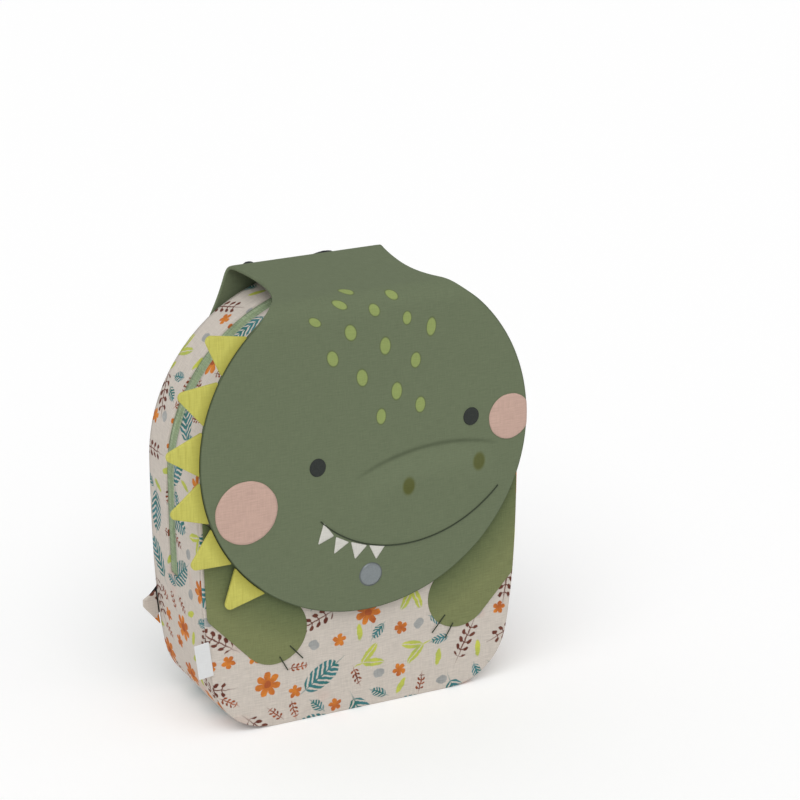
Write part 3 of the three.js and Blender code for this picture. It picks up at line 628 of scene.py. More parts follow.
for vert in band_sheet.verts:
    row, width = round(vert.co.x), widths[round(vert.co.y)]
    across = (width - band_low[1]) / (band_high[1] - band_low[1])
    point, _ = on_course(row * course_step, band_swell * math.sin(math.pi * across) ** 0.5)
    vert.co = (point.x, width, point.z)
bmesh.ops.remove_doubles(band_sheet, verts=band_sheet.verts, dist=0.01 * mm)


def walled(name, made, material, slot, node_name, thickness):
    """An open strip over the bag made a piece with a wall, which lies on its inner side."""
    bmesh.ops.recalc_face_normals(made, faces=made.faces)
    top_face = max(made.faces, key=lambda face: face.calc_center_median().z)
    if top_face.normal.z < 0:
        bmesh.ops.reverse_faces(made, faces=made.faces)
    piece = piece_of(name, made, material, slot, node_name)
    wall = piece.modifiers.new("wall", "SOLIDIFY")
    wall.thickness = thickness
    wall.offset = -1
    return piece


band = walled("band_linen", band_sheet, linen, "printed_linen", "band", band_wall)

# Zip: a woven tape that lies flush in the band's slot, with two rows of nylon teeth along its middle, and
# a small metal slider at its closed end.
tape_colour = (147, 163, 131)
tape_wall = 1.2 * mm
tape_recess = 0.4 * mm
tape_rows, tape_columns = 240, 6
tape_end_gap = 0.3
tooth_pitch = 1.5 * mm
tooth_offset = 0.8 * mm
tooth_size = (0.55 * mm, 1.3 * mm, 0.65 * mm)
zip_middle = (tape_low[1] + tape_high[1]) / 2

tape = finish_of("zip_tape", tape_colour, roughness=0.7)
woven(tape, tape_colour, pitch=1.9 * mm, contrast=0.34, depth=0.4 * mm, slub=0.05)


def mottled(name, colour, darker, lighter, roughness, grain, relief=0.0):
    """A finish that wavers finely between two colours, and is as uneven as its relief in metres."""
    finish = finish_of(name, colour, roughness)
    place = node(finish, "TexCoord").outputs["Object"]
    fleck = node(finish, "TexNoise", {"Vector": place, "Scale": grain}).outputs["Fac"]
    paint(finish, mixed(finish, fleck, linear(darker), linear(lighter)))
    if relief:
        raise_by(finish, fleck, relief)
    return finish


tape_start = (slot_rows[0] + tape_end_gap) * course_step
tape_end = (slot_rows[-1] - tape_end_gap) * course_step
tape_sheet = bmesh.new()
bmesh.ops.create_grid(tape_sheet, x_segments=tape_rows, y_segments=tape_columns, size=1)
tape_cloth = tape_sheet.loops.layers.uv.new("cloth")
for vert in tape_sheet.verts:
    along = tape_start + (tape_end - tape_start) * (vert.co.x + 1) / 2
    width = tape_low[1] + (tape_high[1] - tape_low[1]) * (vert.co.y + 1) / 2
    vert.co = (along, width, 0)
for face in tape_sheet.faces:
    for loop in face.loops:
        loop[tape_cloth].uv = loop.vert.co.xy
for vert in tape_sheet.verts:
    point, _ = on_course(vert.co.x, -tape_recess)
    vert.co = (point.x, vert.co.y, point.z)
walled("zip_tape_woven", tape_sheet, tape, "zip_tape", "zip_tape", tape_wall)

teeth = bmesh.new()
for index in range(int((tape_end - tape_start) / tooth_pitch)):
    for side in (-1, 1):
        along = tape_start + (index + 0.5 + side * 0.25) * tooth_pitch
        point, facing = on_course(along, -tape_recess)
        made = bmesh.ops.create_uvsphere(teeth, u_segments=6, v_segments=4, radius=1)["verts"]
        turn = facing.to_track_quat("Z", "Y").to_matrix().to_4x4()
        spot = Matrix.Translation((point.x, zip_middle + side * tooth_offset, point.z))
        size = Matrix.Diagonal((*tooth_size, 1))
        bmesh.ops.transform(teeth, matrix=spot @ turn @ size, verts=made)
nylon = mottled("zip_teeth", tape_colour, (128, 146, 112), (160, 176, 142), roughness=0.5, grain=400.0)
piece_of("zip_teeth", teeth, nylon, "zip_tape")

metal = finish_of("grey_metal", (130, 136, 138), roughness=0.38)
metal.node_tree.nodes["Principled BSDF"].inputs["Metallic"].default_value = 0.6
metal_place = node(metal, "TexCoord").outputs["Object"]
brushing = node(metal, "TexNoise", {"Vector": metal_place, "Scale": 900.0, "Detail": 3.0}).outputs["Fac"]
steel = mixed(metal, brushing, linear((122, 128, 130)), linear((140, 146, 148)))
raise_by(metal, brushing, depth=0.02 * mm)
cap_low, cap_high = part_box("snap_cap")
cap_middle = ((cap_low[0] + cap_high[0]) / 2, (cap_low[2] + cap_high[2]) / 2)
cap_radius = (cap_high[0] - cap_low[0]) / 2
across, _, upright = [Number(metal, part) for part in node(metal, "SeparateXYZ", {0: metal_place}).outputs]
from_cap = (across - cap_middle[0]).length(upright - cap_middle[1]) / cap_radius
ring_shade = from_cap.between(0.86, 1.3).inked(0.06) * 0.6
paint(metal, mixed(metal, ring_shade.socket, steel, linear((66, 72, 68))))


def softened(name, material, by):
    """Gives a hard piece its finish, and rounds its edges once its loose triangles are joined."""
    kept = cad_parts[name]
    kept.data.materials.clear()
    kept.data.materials.append(material)
    joined = kept.modifiers.new("join", "WELD")
    joined.merge_threshold = 0.002 * mm
    rounded = kept.modifiers.new("round", "BEVEL")
    rounded.width = by
    rounded.segments = 2
    rounded.limit_method = "ANGLE"


softened("zip_slider", metal, by=0.35 * mm)

# Feet: two round-ended limbs of slubby olive canvas, sewn flat on the front panel by their edges, with
# painted shade near the face. Each has two short claws embroidered across its toe in dark thread.
foot_colour = (124, 130, 88)
foot_painted_shade_colour = (88, 101, 68)
foot_puff = 0.7 * mm
# The face's painted shade on them: its middle above the floor, how far the full painted shade reaches,
# and how far it fades, in millimetres.
foot_shade_up, foot_shade_reach, foot_shade_fade = 195.3, 114, 36

foot_canvas = finish_of("foot_canvas", foot_colour, roughness=0.9)
foot_place = node(foot_canvas, "TexCoord").outputs["UV"]
x, z = plane_of(foot_canvas, foot_place)
from_face = x.length(z - foot_shade_up)
# A painted shade darkens the feet near the face, where the flap shadows them, and clears further out.
clear_of_painted_shade = ((from_face - foot_shade_reach) / foot_shade_fade).least(1.0).most(0.0)
foot_colour_and_painted_shade = mixed(foot_canvas, clear_of_painted_shade.socket, linear(foot_painted_shade_colour), linear(foot_colour))
woven(foot_canvas, foot_colour_and_painted_shade, pitch=0.5 * mm, contrast=0.13, depth=0.12 * mm, place=foot_place)
for name in ("foot_left", "foot_right"):
    foot = cut_from(name, rings=16, round_by=0.4 * mm)
    padded_piece(name + "_canvas", foot, foot_canvas, "foot_canvas", name, foot_puff)

embroidery = {"roughness": 0.7, "grain": 1500.0, "relief": 0.15 * mm}
dark_thread = mottled("dark_thread", (46, 49, 49), (36, 39, 38), (56, 60, 56), **embroidery)
line_thread = mottled("line_thread", (52, 60, 46), (42, 50, 38), (66, 74, 56), **embroidery)
claw_thickness = 0.42 * mm
claw_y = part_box("foot_left")[0][1] - 0.5 * mm
claws = [
    # across and up, in millimetres: the upper end, then the lower one
    ((-55.8, 57.8), (-46.4, 47.0)),
    ((-63.3, 51.2), (-57.6, 40.5)),
    ((61.4, 57.2), (51.4, 45.7)),
    ((67.6, 49.9), (61.5, 39.9)),
]


def cord_mesh(points, radius):
    """A round thread along points, as a closed mesh."""
    line = bpy.data.curves.new("thread", "CURVE")
    line.dimensions = "3D"
    line.bevel_depth = radius
    line.bevel_resolution = 2
    line.use_fill_caps = True
    run = line.splines.new("POLY")
    run.points.add(len(points) - 1)
    for place, point in zip(run.points, points):
        place.co = (*point, 1)
    holder = bpy.data.objects.new("thread", line)
    bpy.context.collection.objects.link(holder)
    mesh = bpy.data.meshes.new_from_object(holder.evaluated_get(bpy.context.evaluated_depsgraph_get()))
    made = bmesh.new()
    made.from_mesh(mesh)
    bpy.data.objects.remove(holder)
    bpy.data.curves.remove(line)
    bpy.data.meshes.remove(mesh)
    return made


claw_meshes = bmesh.new()
for start, end in claws:
    ends = [Vector((x * mm, claw_y, z * mm)) for x, z in (start, end)]
    part = cord_mesh([ends[0].lerp(ends[1], i / 8) for i in range(9)], claw_thickness)
    spare = bpy.data.meshes.new("claw")
    part.to_mesh(spare)
    part.free()
    claw_meshes.from_mesh(spare)
    bpy.data.meshes.remove(spare)
piece_of("claws", claw_meshes, line_thread, "dark_thread")

# Flap: green canvas over thin foam. It is sewn to the back panel, folds over the top and hangs down the
# front as a round face. It is cut flat, filled, then bent over the bag.
flap_low, flap_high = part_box("flap")
flap_x = (flap_low[0] + flap_high[0]) / 2
face_radius = 120.3 * mm
face_z = flap_low[2] + face_radius
flap_wall = 3 * mm
front_bend = 14 * mm
fold_radius = 7 * mm
crease_rise = 2.5 * mm
hem_z = 252 * mm
neck_start = math.radians(50.4)
neck_half = 51.5 * mm
hem_half = 78 * mm
flap_round = 0.8 * mm
flap_puff = 1.3 * mm
taut_from = 10 * mm
taut_over = 25 * mm
flap_columns = 62
chin_rows = 34
neck_rows = 74

flap_front, flap_back = flap_low[1], flap_high[1]
flap_top = flap_high[2] - crease_rise
bend_start = flap_top - front_bend
top_run = (flap_back - fold_radius) - (flap_front + front_bend)
bend_end = bend_start + front_bend * math.pi / 2
fold_start = bend_end + top_run
fold_end = fold_start + fold_radius * math.pi / 2
hem_s = fold_end + (flap_high[2] - fold_radius - hem_z)
neck_s = bend_end + top_run / 2


def side_view(s):
    """The flap's side view: the point at a length up from the floor's level, and the way out of it there."""
    if s < bend_start:
        return Vector((0, flap_front, s)), Vector((0, -1, 0))
    if s < bend_end:
        turn = (s - bend_start) / front_bend
        facing = Vector((0, -math.cos(turn), math.sin(turn)))
        return Vector((0, flap_front + front_bend, bend_start)) + facing * front_bend, facing
    if s < fold_start:
        share = (s - bend_end) / top_run
        rise = crease_rise * share * share * (3 - 2 * share)
        return Vector((0, flap_front + front_bend + top_run * share, flap_top + rise)), Vector((0, 0, 1))
    if s < fold_end:
        turn = (s - fold_start) / fold_radius
        facing = Vector((0, math.sin(turn), math.cos(turn)))
        middle = Vector((0, flap_back - fold_radius, flap_high[2] - fold_radius))
        return middle + facing * fold_radius, facing
    return Vector((0, flap_back, flap_high[2] - fold_radius - (s - fold_end))), Vector((0, 1, 0))


crease_x = 54.3 * mm
crease_s = 44.5 * mm
crease_radius = 141.6 * mm
crease_half = 46 * mm
crease_middle = 44 * mm
crease_depth = 0.5 * mm
crease_above = 6 * mm
muzzle_rise = 1.6 * mm
muzzle_start = 5 * mm
muzzle_drop = 46 * mm


def crease_fade(x):
    """How strongly the muzzle's crease shows at x, from 1 in its middle to 0 past its ends."""
    return max(0.0, 1 - (abs(x - crease_middle) / (crease_half * 1.25)) ** 4)


def muzzle(x, s):
    """How far the filling lifts the face at a point of the pattern: a soft roll below the crease."""
    below = crease_radius - math.hypot(x - crease_x, s - crease_s)
    if below < -crease_above:
        return 0.0
    if below < 0:
        return -crease_depth * crease_fade(x) * (1 + below / crease_above)
    rise = 1 - math.exp(-below / muzzle_start)
    fall = max(0.0, 1 - below / muzzle_drop)
    roll = muzzle_rise * rise * fall * fall * (1 + 2 * (1 - fall))
    return crease_fade(x) * (roll - crease_depth * (1 - rise))


def curve(points, count):
    """Points along the Bezier curve of four points."""
    a, b, c, d = (Vector((x, 0, z)) for x, z in points)
    along = []
    for t in (i / count for i in range(count + 1)):
        along.append(a * (1 - t) ** 3 + b * 3 * t * (1 - t) ** 2 + c * 3 * t * t * (1 - t) + d * t ** 3)
    return along


shoulder = Vector((face_radius * math.cos(neck_start), 0, face_z + face_radius * math.sin(neck_start)))
shoulder_run = face_radius * 0.15
neck_right = curve((
    (shoulder.x, shoulder.z),
    (shoulder.x - shoulder_run * math.sin(neck_start), shoulder.z + shoulder_run * math.cos(neck_start)),
    (neck_half, neck_s - (neck_s - shoulder.z) * 0.45),
    (neck_half, neck_s),
), 12)[1:]
tail_right = curve((
    (neck_half, neck_s),
    (neck_half, neck_s + (hem_s - neck_s) * 0.35),
    (neck_half + (hem_half - neck_half) * 0.32, neck_s + (hem_s - neck_s) * 0.7),
    (hem_half, hem_s),
), 12)[1:]
right_side = neck_right + tail_right


def half_width(s):
    """Half the pattern's width at a length above the face's middle."""
    if s <= shoulder.z:
        return math.sqrt(face_radius ** 2 - (s - face_z) ** 2)
    for before, after in zip([shoulder] + right_side, right_side):
        if s <= after.z:
            return before.x + (after.x - before.x) * (s - before.z) / (after.z - before.z)
    return hem_half


flap_pattern = bmesh.new()
bmesh.ops.create_grid(flap_pattern, x_segments=flap_columns, y_segments=chin_rows + neck_rows, size=1)
for vert in flap_pattern.verts:
    u = vert.co.x
    row = round((vert.co.y + 1) / 2 * (chin_rows + neck_rows)) - chin_rows
    if row < 0:
        v = row / chin_rows
        vert.co = (face_radius * u * math.sqrt(1 - v * v / 2), 0,
                   face_z + face_radius * v * math.sqrt(1 - u * u / 2))
    else:
        s = face_z + (hem_s - face_z) * row / neck_rows
        vert.co = (u * half_width(s), 0, s)
flap_cloth = flap_pattern.loops.layers.uv.new("cloth")
for face in flap_pattern.faces:
    for loop in face.loops:
        loop[flap_cloth].uv = (loop.vert.co.x, loop.vert.co.z)
flap_sheet = thickened(flap_pattern, flap_wall, flap_round)
flap_canvas = finish_of("flap_canvas", canvas_colour, roughness=0.88)
flap_place = node(flap_canvas, "TexCoord").outputs["UV"]
x, s = plane_of(flap_canvas, flap_place)
spot_table = [
    # across, up, degrees that its top leans to the left, half its width, half its length
    (-9.1, 304.6, 35, 3.6, 5.8), (-37.9, 284.0, 60, 2.7, 4.8), (-18.5, 293.1, 58, 3.0, 5.6),
    (5.1, 286.2, 35, 3.6, 4.7), (19.8, 294.9, 42, 3.5, 4.9), (28.6, 277.7, 0, 3.3, 4.7),
    (46.4, 269.2, -5, 3.6, 6.5), (-12.6, 273.5, 18, 4.2, 5.8), (12.5, 260.8, 2, 4.0, 6.2),
    (-25.7, 257.6, 20, 4.0, 5.8), (34.9, 247.7, -3, 3.8, 5.5), (-4.4, 241.3, 11, 4.1, 6.2),
    (20.9, 228.2, 0, 4.0, 6.3), (38.4, 216.0, 0, 3.8, 5.7), (9.4, 212.2, 0, 3.6, 5.7),
]
nearest = None
for spot_x, spot_s, tilt, half_spot, long_spot in spot_table:
    across, along = lean(x - spot_x, s - spot_s, tilt)
    away = (across / half_spot).length(along / long_spot)
    nearest = away if nearest is None else nearest.least(away)
colouring = mixed(flap_canvas, (1.06 - nearest).inked(0.16).socket, linear(canvas_colour), linear((98, 108, 72)))
colouring = mixed(flap_canvas, (0.9 - nearest).inked(0.16).socket, colouring, linear((143, 157, 95)))
half_nostril, long_nostril = 4.4, 6.2
for nostril_x, nostril_s in ((29.5, 159.7), (82.6, 168.5)):
    away = ((x - nostril_x) / half_nostril).length((s - nostril_s) / long_nostril)
    colouring = mixed(flap_canvas, (1.08 - away).inked(0.4).socket, colouring, linear((96, 103, 66)))
    colouring = mixed(flap_canvas, (0.92 - away).inked(0.3).socket, colouring, linear((86, 90, 46)))
under = crease_radius / mm - (x - crease_x / mm).length(s - crease_s / mm)
fade = (1.0 - abs((x - crease_middle / mm) / (crease_half / mm * 1.2)).step("POWER", 4)).most(0.0)


def painted_crease_band(below, half_wide, strength):
    """A painted band along the muzzle's crease, in millimetres below it, that fades with it at its ends."""
    off = (under - below) / half_wide
    return ((off * off * -1).step("EXPONENT") * fade * strength).socket


# Painted shade in the muzzle's crease, and a faint painted highlight on the muzzle's roll just below it.
colouring = mixed(flap_canvas, painted_crease_band(below=0, half_wide=1.5, strength=0.55), colouring, linear((62, 70, 50)))
colouring = mixed(flap_canvas, painted_crease_band(below=13, half_wide=10, strength=0.07), colouring, linear((150, 162, 130)))
# A painted shadow darkens the face's rim and a thin line just inside it, below the shoulders.
painted_edge_line_width = 0.7
painted_edge_shade = (x.length(s - face_z / mm) - (face_radius / mm - painted_edge_line_width)).inked(0.6)
painted_edge_shade = painted_edge_shade.least((shoulder.z / mm - s).inked(8.0)) * 0.55
colouring = mixed(flap_canvas, painted_edge_shade.socket, colouring, linear((58, 68, 46)))
woven(flap_canvas, colouring, pitch=0.45 * mm, contrast=0.09, depth=0.1 * mm, place=flap_place)
flap = piece_of("flap_canvas", flap_sheet, flap_canvas, "green_canvas", "flap")
plump(flap, flap_puff)
for vert in flap.data.vertices:
    taut = min(1.0, max(0.0, (vert.co.z - bend_start + taut_from) / taut_over))
    unfilled = min(flap_wall, max(0.0, vert.co.y))
    vert.co.y = unfilled + (vert.co.y - unfilled) * (1 - taut)
flap_filled = BVHTree.FromPolygons([vert.co.copy() for vert in flap.data.vertices],
                                   [list(face.vertices) for face in flap.data.polygons])
for vert in flap.data.vertices:
    x, depth, s = vert.co
    share = min(1.0, max(0.0, 1 - depth / flap_wall))
    point, facing = side_view(s)
    vert.co = Vector((flap_x + x, 0, 0)) + point + facing * (muzzle(x, s) * share - depth)
smoothed(flap)


def on_flap(x, s, lift=0.0):
    """The point of the bent flap over a point of its flat pattern, lifted off its outer face as filled."""
    hit = flap_filled.ray_cast(Vector((x, -flap_wall * 4, s)), Vector((0, 1, 0)))[0]
    swell = -hit.y if hit else 0.0
    point, facing = side_view(s)
    return Vector((flap_x + x, 0, 0)) + point + facing * (lift + swell + muzzle(x, s))


# Face: pink cheeks cut from ribbed cloth, black embroidered eyes, white felt teeth and a thin embroidered
# line for the mouth, all sewn flat on the flap.
cheek_colour = (198, 167, 153)
pink = finish_of("pink_thread", cheek_colour, roughness=0.85)
woven(pink, cheek_colour, pitch=0.55 * mm, contrast=0.1, depth=0.12 * mm)
felt_colour = (208, 206, 198)
white = finish_of("white_thread", felt_colour, roughness=0.8)
woven(white, felt_colour, pitch=0.5 * mm, contrast=0.09, depth=0.1 * mm)
patch_under = 0.4 * mm


def applique(name, outline, rings, lift, dome, material, slot):
    """A patch of cloth laid on the flap, a little domed, from its outline on the flat pattern."""
    sheet = sheet_in([Vector((x, 0, s)) for x, s in outline], rings)
    rim_fall = {vert: 1.0 for vert in sheet.verts}
    for vert in sheet.verts:
        if vert.is_boundary:
            rim_fall[vert] = 0.0
    for _ in range(max(2, rings // 3)):
        eased = {}
        for vert in sheet.verts:
            near = [rim_fall[edge.other_vert(vert)] for edge in vert.link_edges]
            eased[vert] = 0.0 if vert.is_boundary else (rim_fall[vert] + sum(near)) / (1 + len(near))
        rim_fall = eased
    for vert in sheet.verts:
        vert.co.y = -lift - dome * rim_fall[vert]
    grown = bmesh.ops.extrude_face_region(sheet, geom=sheet.faces[:], use_keep_orig=True)["geom"]
    for part in grown:
        if isinstance(part, bmesh.types.BMVert):
            part.co.y = patch_under
    bmesh.ops.recalc_face_normals(sheet, faces=sheet.faces)
    for vert in sheet.verts:
        vert.co = on_flap(vert.co.x, vert.co.z, -vert.co.y)
    return piece_of(name, sheet, material, slot)


def oval(x, s, wide, tall, wobble=0.0, count=72):
    """A round or oval outline on the pattern, a little uneven if wobble is above 0."""
    points = []
    for i in range(count):
        turn = 2 * math.pi * i / count
        waves = math.sin(3 * turn + 1) + 0.6 * math.sin(7 * turn) + 0.4 * math.sin(13 * turn + 2)
        grow = 1 + wobble * waves
        points.append((x + wide * grow * math.cos(turn), s + tall * grow * math.sin(turn)))
    return points


def inside_face(points, margin):
    """The points moved in where they would pass the edge of the face."""
    kept = []
    for x, s in points:
        out = math.hypot(x, s - face_z)
        share = min(1.0, (face_radius - margin) / out)
        kept.append((x * share, face_z + (s - face_z) * share))
    return kept


flap_shift = flap_x / mm
cheek_left = oval((-88.1 - flap_shift) * mm, 161.3 * mm, 22 * mm, 22 * mm, wobble=0.006)
cheek_right = oval((107 - flap_shift) * mm, 196.8 * mm, 16 * mm, 16 * mm, wobble=0.006)
cheek_right = inside_face(cheek_right, margin=0.2 * mm)
cheek_cloth = {"lift": 0.35 * mm, "dome": 0.25 * mm, "material": pink, "slot": "pink_thread"}
applique("cheek_left", cheek_left, rings=14, **cheek_cloth)
applique("cheek_right", cheek_right, rings=12, **cheek_cloth)
eye_thread = {"lift": 0.3 * mm, "dome": 0.6 * mm, "material": dark_thread, "slot": "dark_thread"}
for name, x, s in (("eye_left", -36.7, 184), ("eye_right", 77.2, 201.5)):
    eye = oval((x - flap_shift) * mm, s * mm, wide=5.8 * mm, tall=6.3 * mm)
    applique(name, eye, rings=8, **eye_thread)

teeth_points = [
    # across and up, in millimetres: the two ends on the mouth line, then the tip
    ((-32.6, 143.5), (-25.3, 132.9), (-37.1, 128.6)),
    ((-23.8, 131.9), (-14.3, 126.5), (-25.4, 120.0)),
    ((-12.8, 126.3), (-0.9, 121.9), (-9.9, 113.4)),
    ((0.6, 121.6), (12.6, 119.4), (5.8, 110.5)),
]
tooth_under = 0.8
tooth_round = 0.6 * mm
tooth_felt = {"lift": 0.3 * mm, "dome": 0.3 * mm, "material": white, "slot": "white_thread"}
for index, (upper, lower, tip) in enumerate(teeth_points):
    corners = [Vector(((x - flap_shift) * mm, 0, (s + tooth_under) * mm)) for x, s in (upper, tip, lower)]
    shape = bmesh.new()
    shape.faces.new([shape.verts.new(corner) for corner in corners])
    bmesh.ops.bevel(shape, geom=shape.verts[:], offset=tooth_round, segments=2, profile=0.5,
                    affect="VERTICES", material=-1)
    whole = max(shape.faces, key=lambda face: len(face.verts))
    rounded = [(loop.vert.co.x, loop.vert.co.z) for loop in whole.loops]
    shape.free()
    turned = sum(a[0] * b[1] - b[0] * a[1] for a, b in zip(rounded, rounded[1:] + rounded[:1]))
    applique(f"tooth_{index + 1}", rounded if turned > 0 else rounded[::-1], rings=6, **tooth_felt)

mouth_lift = 0.25 * mm
mouth_thickness = 0.45 * mm
mouth_line = curve(((-35.5, 145.5), (-0.4, 108.3), (60.6, 109.9), (97.9, 148.4)), count=64)
mouth_points = [on_flap(p.x * mm, p.z * mm, mouth_lift) for p in mouth_line]
piece_of("mouth", cord_mesh(mouth_points, mouth_thickness), line_thread, "dark_thread")

# Spikes: six stuffed triangles of ribbed yellow cotton, caught by their bases in the seam along the left
# edge of the face. Their bases carry a painted shade next to the face's edge.
spike_count = 6
spike_colour = (198, 194, 98)
spike_puff = 1.0 * mm
spike_shade_over = 8

yellow = finish_of("yellow_cotton", spike_colour, roughness=0.85)
spike_place = node(yellow, "TexCoord").outputs["UV"]
x, z = plane_of(yellow, spike_place)
from_edge = x.length(z - face_z / mm) - face_radius / mm
# A painted shade darkens each spike over its last millimetres next to the face's edge.
spike_clear_of_painted_shade = (from_edge / spike_shade_over).least(1.0).most(0.0)
spike_colour_and_painted_shade = mixed(yellow, spike_clear_of_painted_shade.socket, linear((160, 156, 70)), linear(spike_colour))
rib = node(yellow, "Mapping", {"Vector": spike_place, "Scale": (900, 55, 1)}).outputs[0]
rib = node(yellow, "TexNoise", {"Vector": rib, "Scale": 1.0, "Detail": 3.0}).outputs["Fac"]
ribs = ((Number(yellow, rib) - 0.45) * 2.2).least(0.5).most(0.0)
spike_colour_and_painted_shade = mixed(yellow, ribs.socket, spike_colour_and_painted_shade, linear((176, 169, 78)))
woven(yellow, spike_colour_and_painted_shade, pitch=0.5 * mm, contrast=0.06, depth=0.1 * mm, place=spike_place)
for index in range(1, spike_count + 1):
    name = f"spike_{index}"
    spike = cut_from(name, rings=10, round_by=0.7 * mm)
    padded_piece(name + "_cotton", spike, yellow, "yellow_cotton", name, spike_puff)

# Snap: a pressed metal cap with a rolled rim in front of the flap, and behind the flap the socket that
# holds it to the front panel.
cap_profile = [
    # share of the cap's radius, and millimetres behind the cap's seat, negative in front of it
    (0, -1.75), (0.4, -1.75), (0.7, -1.65), (0.82, -1.4), (0.86, -1.0), (0.9, -0.75), (0.97, -0.55),
    (1.0, -0.2), (1.0, 0.1), (0.9, 0.2), (0, 0.2),
]
cap = bmesh.new()
profile = [cap.verts.new((r * cap_radius, cap_high[1] + d * mm, 0)) for r, d in cap_profile]
edges = [cap.edges.new(pair) for pair in zip(profile, profile[1:])]
bmesh.ops.spin(cap, geom=profile + edges, cent=(0, 0, 0), axis=(0, 1, 0), angle=2 * math.pi, steps=64,
               use_merge=True, dvec=(0, 0, 0))
bmesh.ops.remove_doubles(cap, verts=cap.verts, dist=0.005 * mm)
bmesh.ops.recalc_face_normals(cap, faces=cap.faces)
bmesh.ops.translate(cap, verts=cap.verts, vec=(cap_middle[0], 0, cap_middle[1]))
piece_of("snap_cap_pressed", cap, metal, "grey_metal", "snap_cap")
softened("snap_socket", metal, by=0.4 * mm)

# Label: a folded ribbon of plain white satin, finely woven and a little glossy. It is caught by its end in
# the bag's left front seam.
satin_colour = (218, 219, 219)
satin = finish_of("white_satin", satin_colour, roughness=0.45, sheen=0.1)
woven(satin, satin_colour, pitch=0.35 * mm, contrast=0.04, depth=0.04 * mm)
ribbon = cut_from("side_label", rings=12, round_by=0.3 * mm)
smoothed(piece_of("side_label_ribbon", ribbon, satin, "white_satin", "side_label"))

# Shoulder straps: two padded straps of the flap's canvas, sewn in under its hem. They widen over the
# shoulder and narrow down to the adjusters.
strap_square = 0.55
rows_between = 2
round_count = 20
side_share = 0.85
courses = {}


def rings_of(name):
    """The cross-sections of a strip, from one end to the other, each a list of its corners."""
    body = copy_of(name)
    body.normal_update()
    flatness = {vert: min(face.normal.dot(vert.normal) for face in vert.link_faces) for vert in body.verts}
    first, last = sorted(body.verts, key=flatness.get)[-2:]
    seen = {first}
    layer = [first]
    rings = []
    while layer:
        ahead = []
        for vert in layer:
            for edge in vert.link_edges:
                other = edge.other_vert(vert)
                if other not in seen:
                    seen.add(other)
                    ahead.append(other)
        layer = ahead
        if layer and last not in layer:
            rings.append([vert.co.copy() for vert in layer])
        elif len(layer) > 1:
            rings.append([vert.co.copy() for vert in layer if vert is not last])
    return rings


def course_of(name):
    """A strip's cross-sections: each one's middle, its two directions, and half its width and thickness."""
    middles = []
    for ring in rings_of(name):
        centre = sum(ring, Vector()) / len(ring)
        spread = [p - centre for p in ring]
        heading = middles[-1][1] if middles else max(spread, key=lambda p: p.length).normalized()
        reach = max(p.dot(heading) for p in spread)
        side = [p for p in spread if p.dot(heading) > reach * side_share]
        middles.append((centre, sum(side, Vector()).normalized(), spread))
    sections = []
    for index, (centre, wide, spread) in enumerate(middles):
        ahead = middles[min(index + 1, len(middles) - 1)][0] - middles[max(index - 1, 0)][0]
        ahead.normalize()
        wide = (wide - ahead * wide.dot(ahead)).normalized()
        out = ahead.cross(wide)
        half_wide = max(abs(p.dot(wide)) for p in spread)
        half_thick = max(abs(p.dot(out)) for p in spread)
        sections.append((centre, wide, out, half_wide, half_thick))
    return sections


def strip_like(name, square):
    """A fine closed strip along a node's cross-sections, with its UV map along and round it, in metres."""
    rings = course_of(name)
    courses[name] = rings
    count = (len(rings) - 1) * rows_between
    made = bmesh.new()
    bmesh.ops.create_grid(made, x_segments=count, y_segments=round_count, size=1)
    cloth = made.loops.layers.uv.new("cloth")
    lengths = [0.0]
    for before, after in zip(rings, rings[1:]):
        lengths.append(lengths[-1] + (after[0] - before[0]).length)
    for vert in made.verts:
        vert.co = (round((vert.co.x + 1) / 2 * count), round((vert.co.y + 1) / 2 * round_count), 0)
    girth = 4 * (rings[0][3] + rings[0][4])
    for face in made.faces:
        for loop in face.loops:
            row, step, _ = loop.vert.co
            at = row / rows_between
            before = min(int(at), len(rings) - 2)
            length = lengths[before] + (lengths[before + 1] - lengths[before]) * (at - before)
            loop[cloth].uv = (length, step / round_count * girth)
    for vert in made.verts:
        at = vert.co.x / rows_between
        before = min(int(at), len(rings) - 2)
        a, b = rings[before], rings[before + 1]
        share = at - before
        centre = a[0].lerp(b[0], share)
        if 0 < before < len(rings) - 2:
            centre = (
                rings[before - 1][0] * (-share * (1 - share) ** 2 / 2)
                + a[0] * (1 - share * share * (5 - 3 * share) / 2)
                + b[0] * (share * (1 + 4 * share - 3 * share * share) / 2)
                + rings[before + 2][0] * (-share * share * (1 - share) / 2)
            )
        wide, out = a[1].lerp(b[1], share), a[2].lerp(b[2], share)
        half_wide, half_thick = a[3] + (b[3] - a[3]) * share, a[4] + (b[4] - a[4]) * share
        turn = 2 * math.pi * vert.co.y / round_count
        c, s = math.cos(turn), math.sin(turn)
        across = math.copysign(abs(c) ** square, c) * half_wide
        over = math.copysign(abs(s) ** square, s) * half_thick
        vert.co = centre + wide * across + out * over
    bmesh.ops.remove_doubles(made, verts=made.verts, dist=0.005 * mm)
    ends = [edge for edge in made.edges if edge.is_boundary]
    bmesh.ops.holes_fill(made, edges=ends, sides=0)
    bmesh.ops.recalc_face_normals(made, faces=made.faces)
    return made


for side in ("left", "right"):
    name = f"shoulder_strap_{side}"
    strap = piece_of(name + "_canvas", strip_like(name, strap_square), canvas, "green_canvas", name)

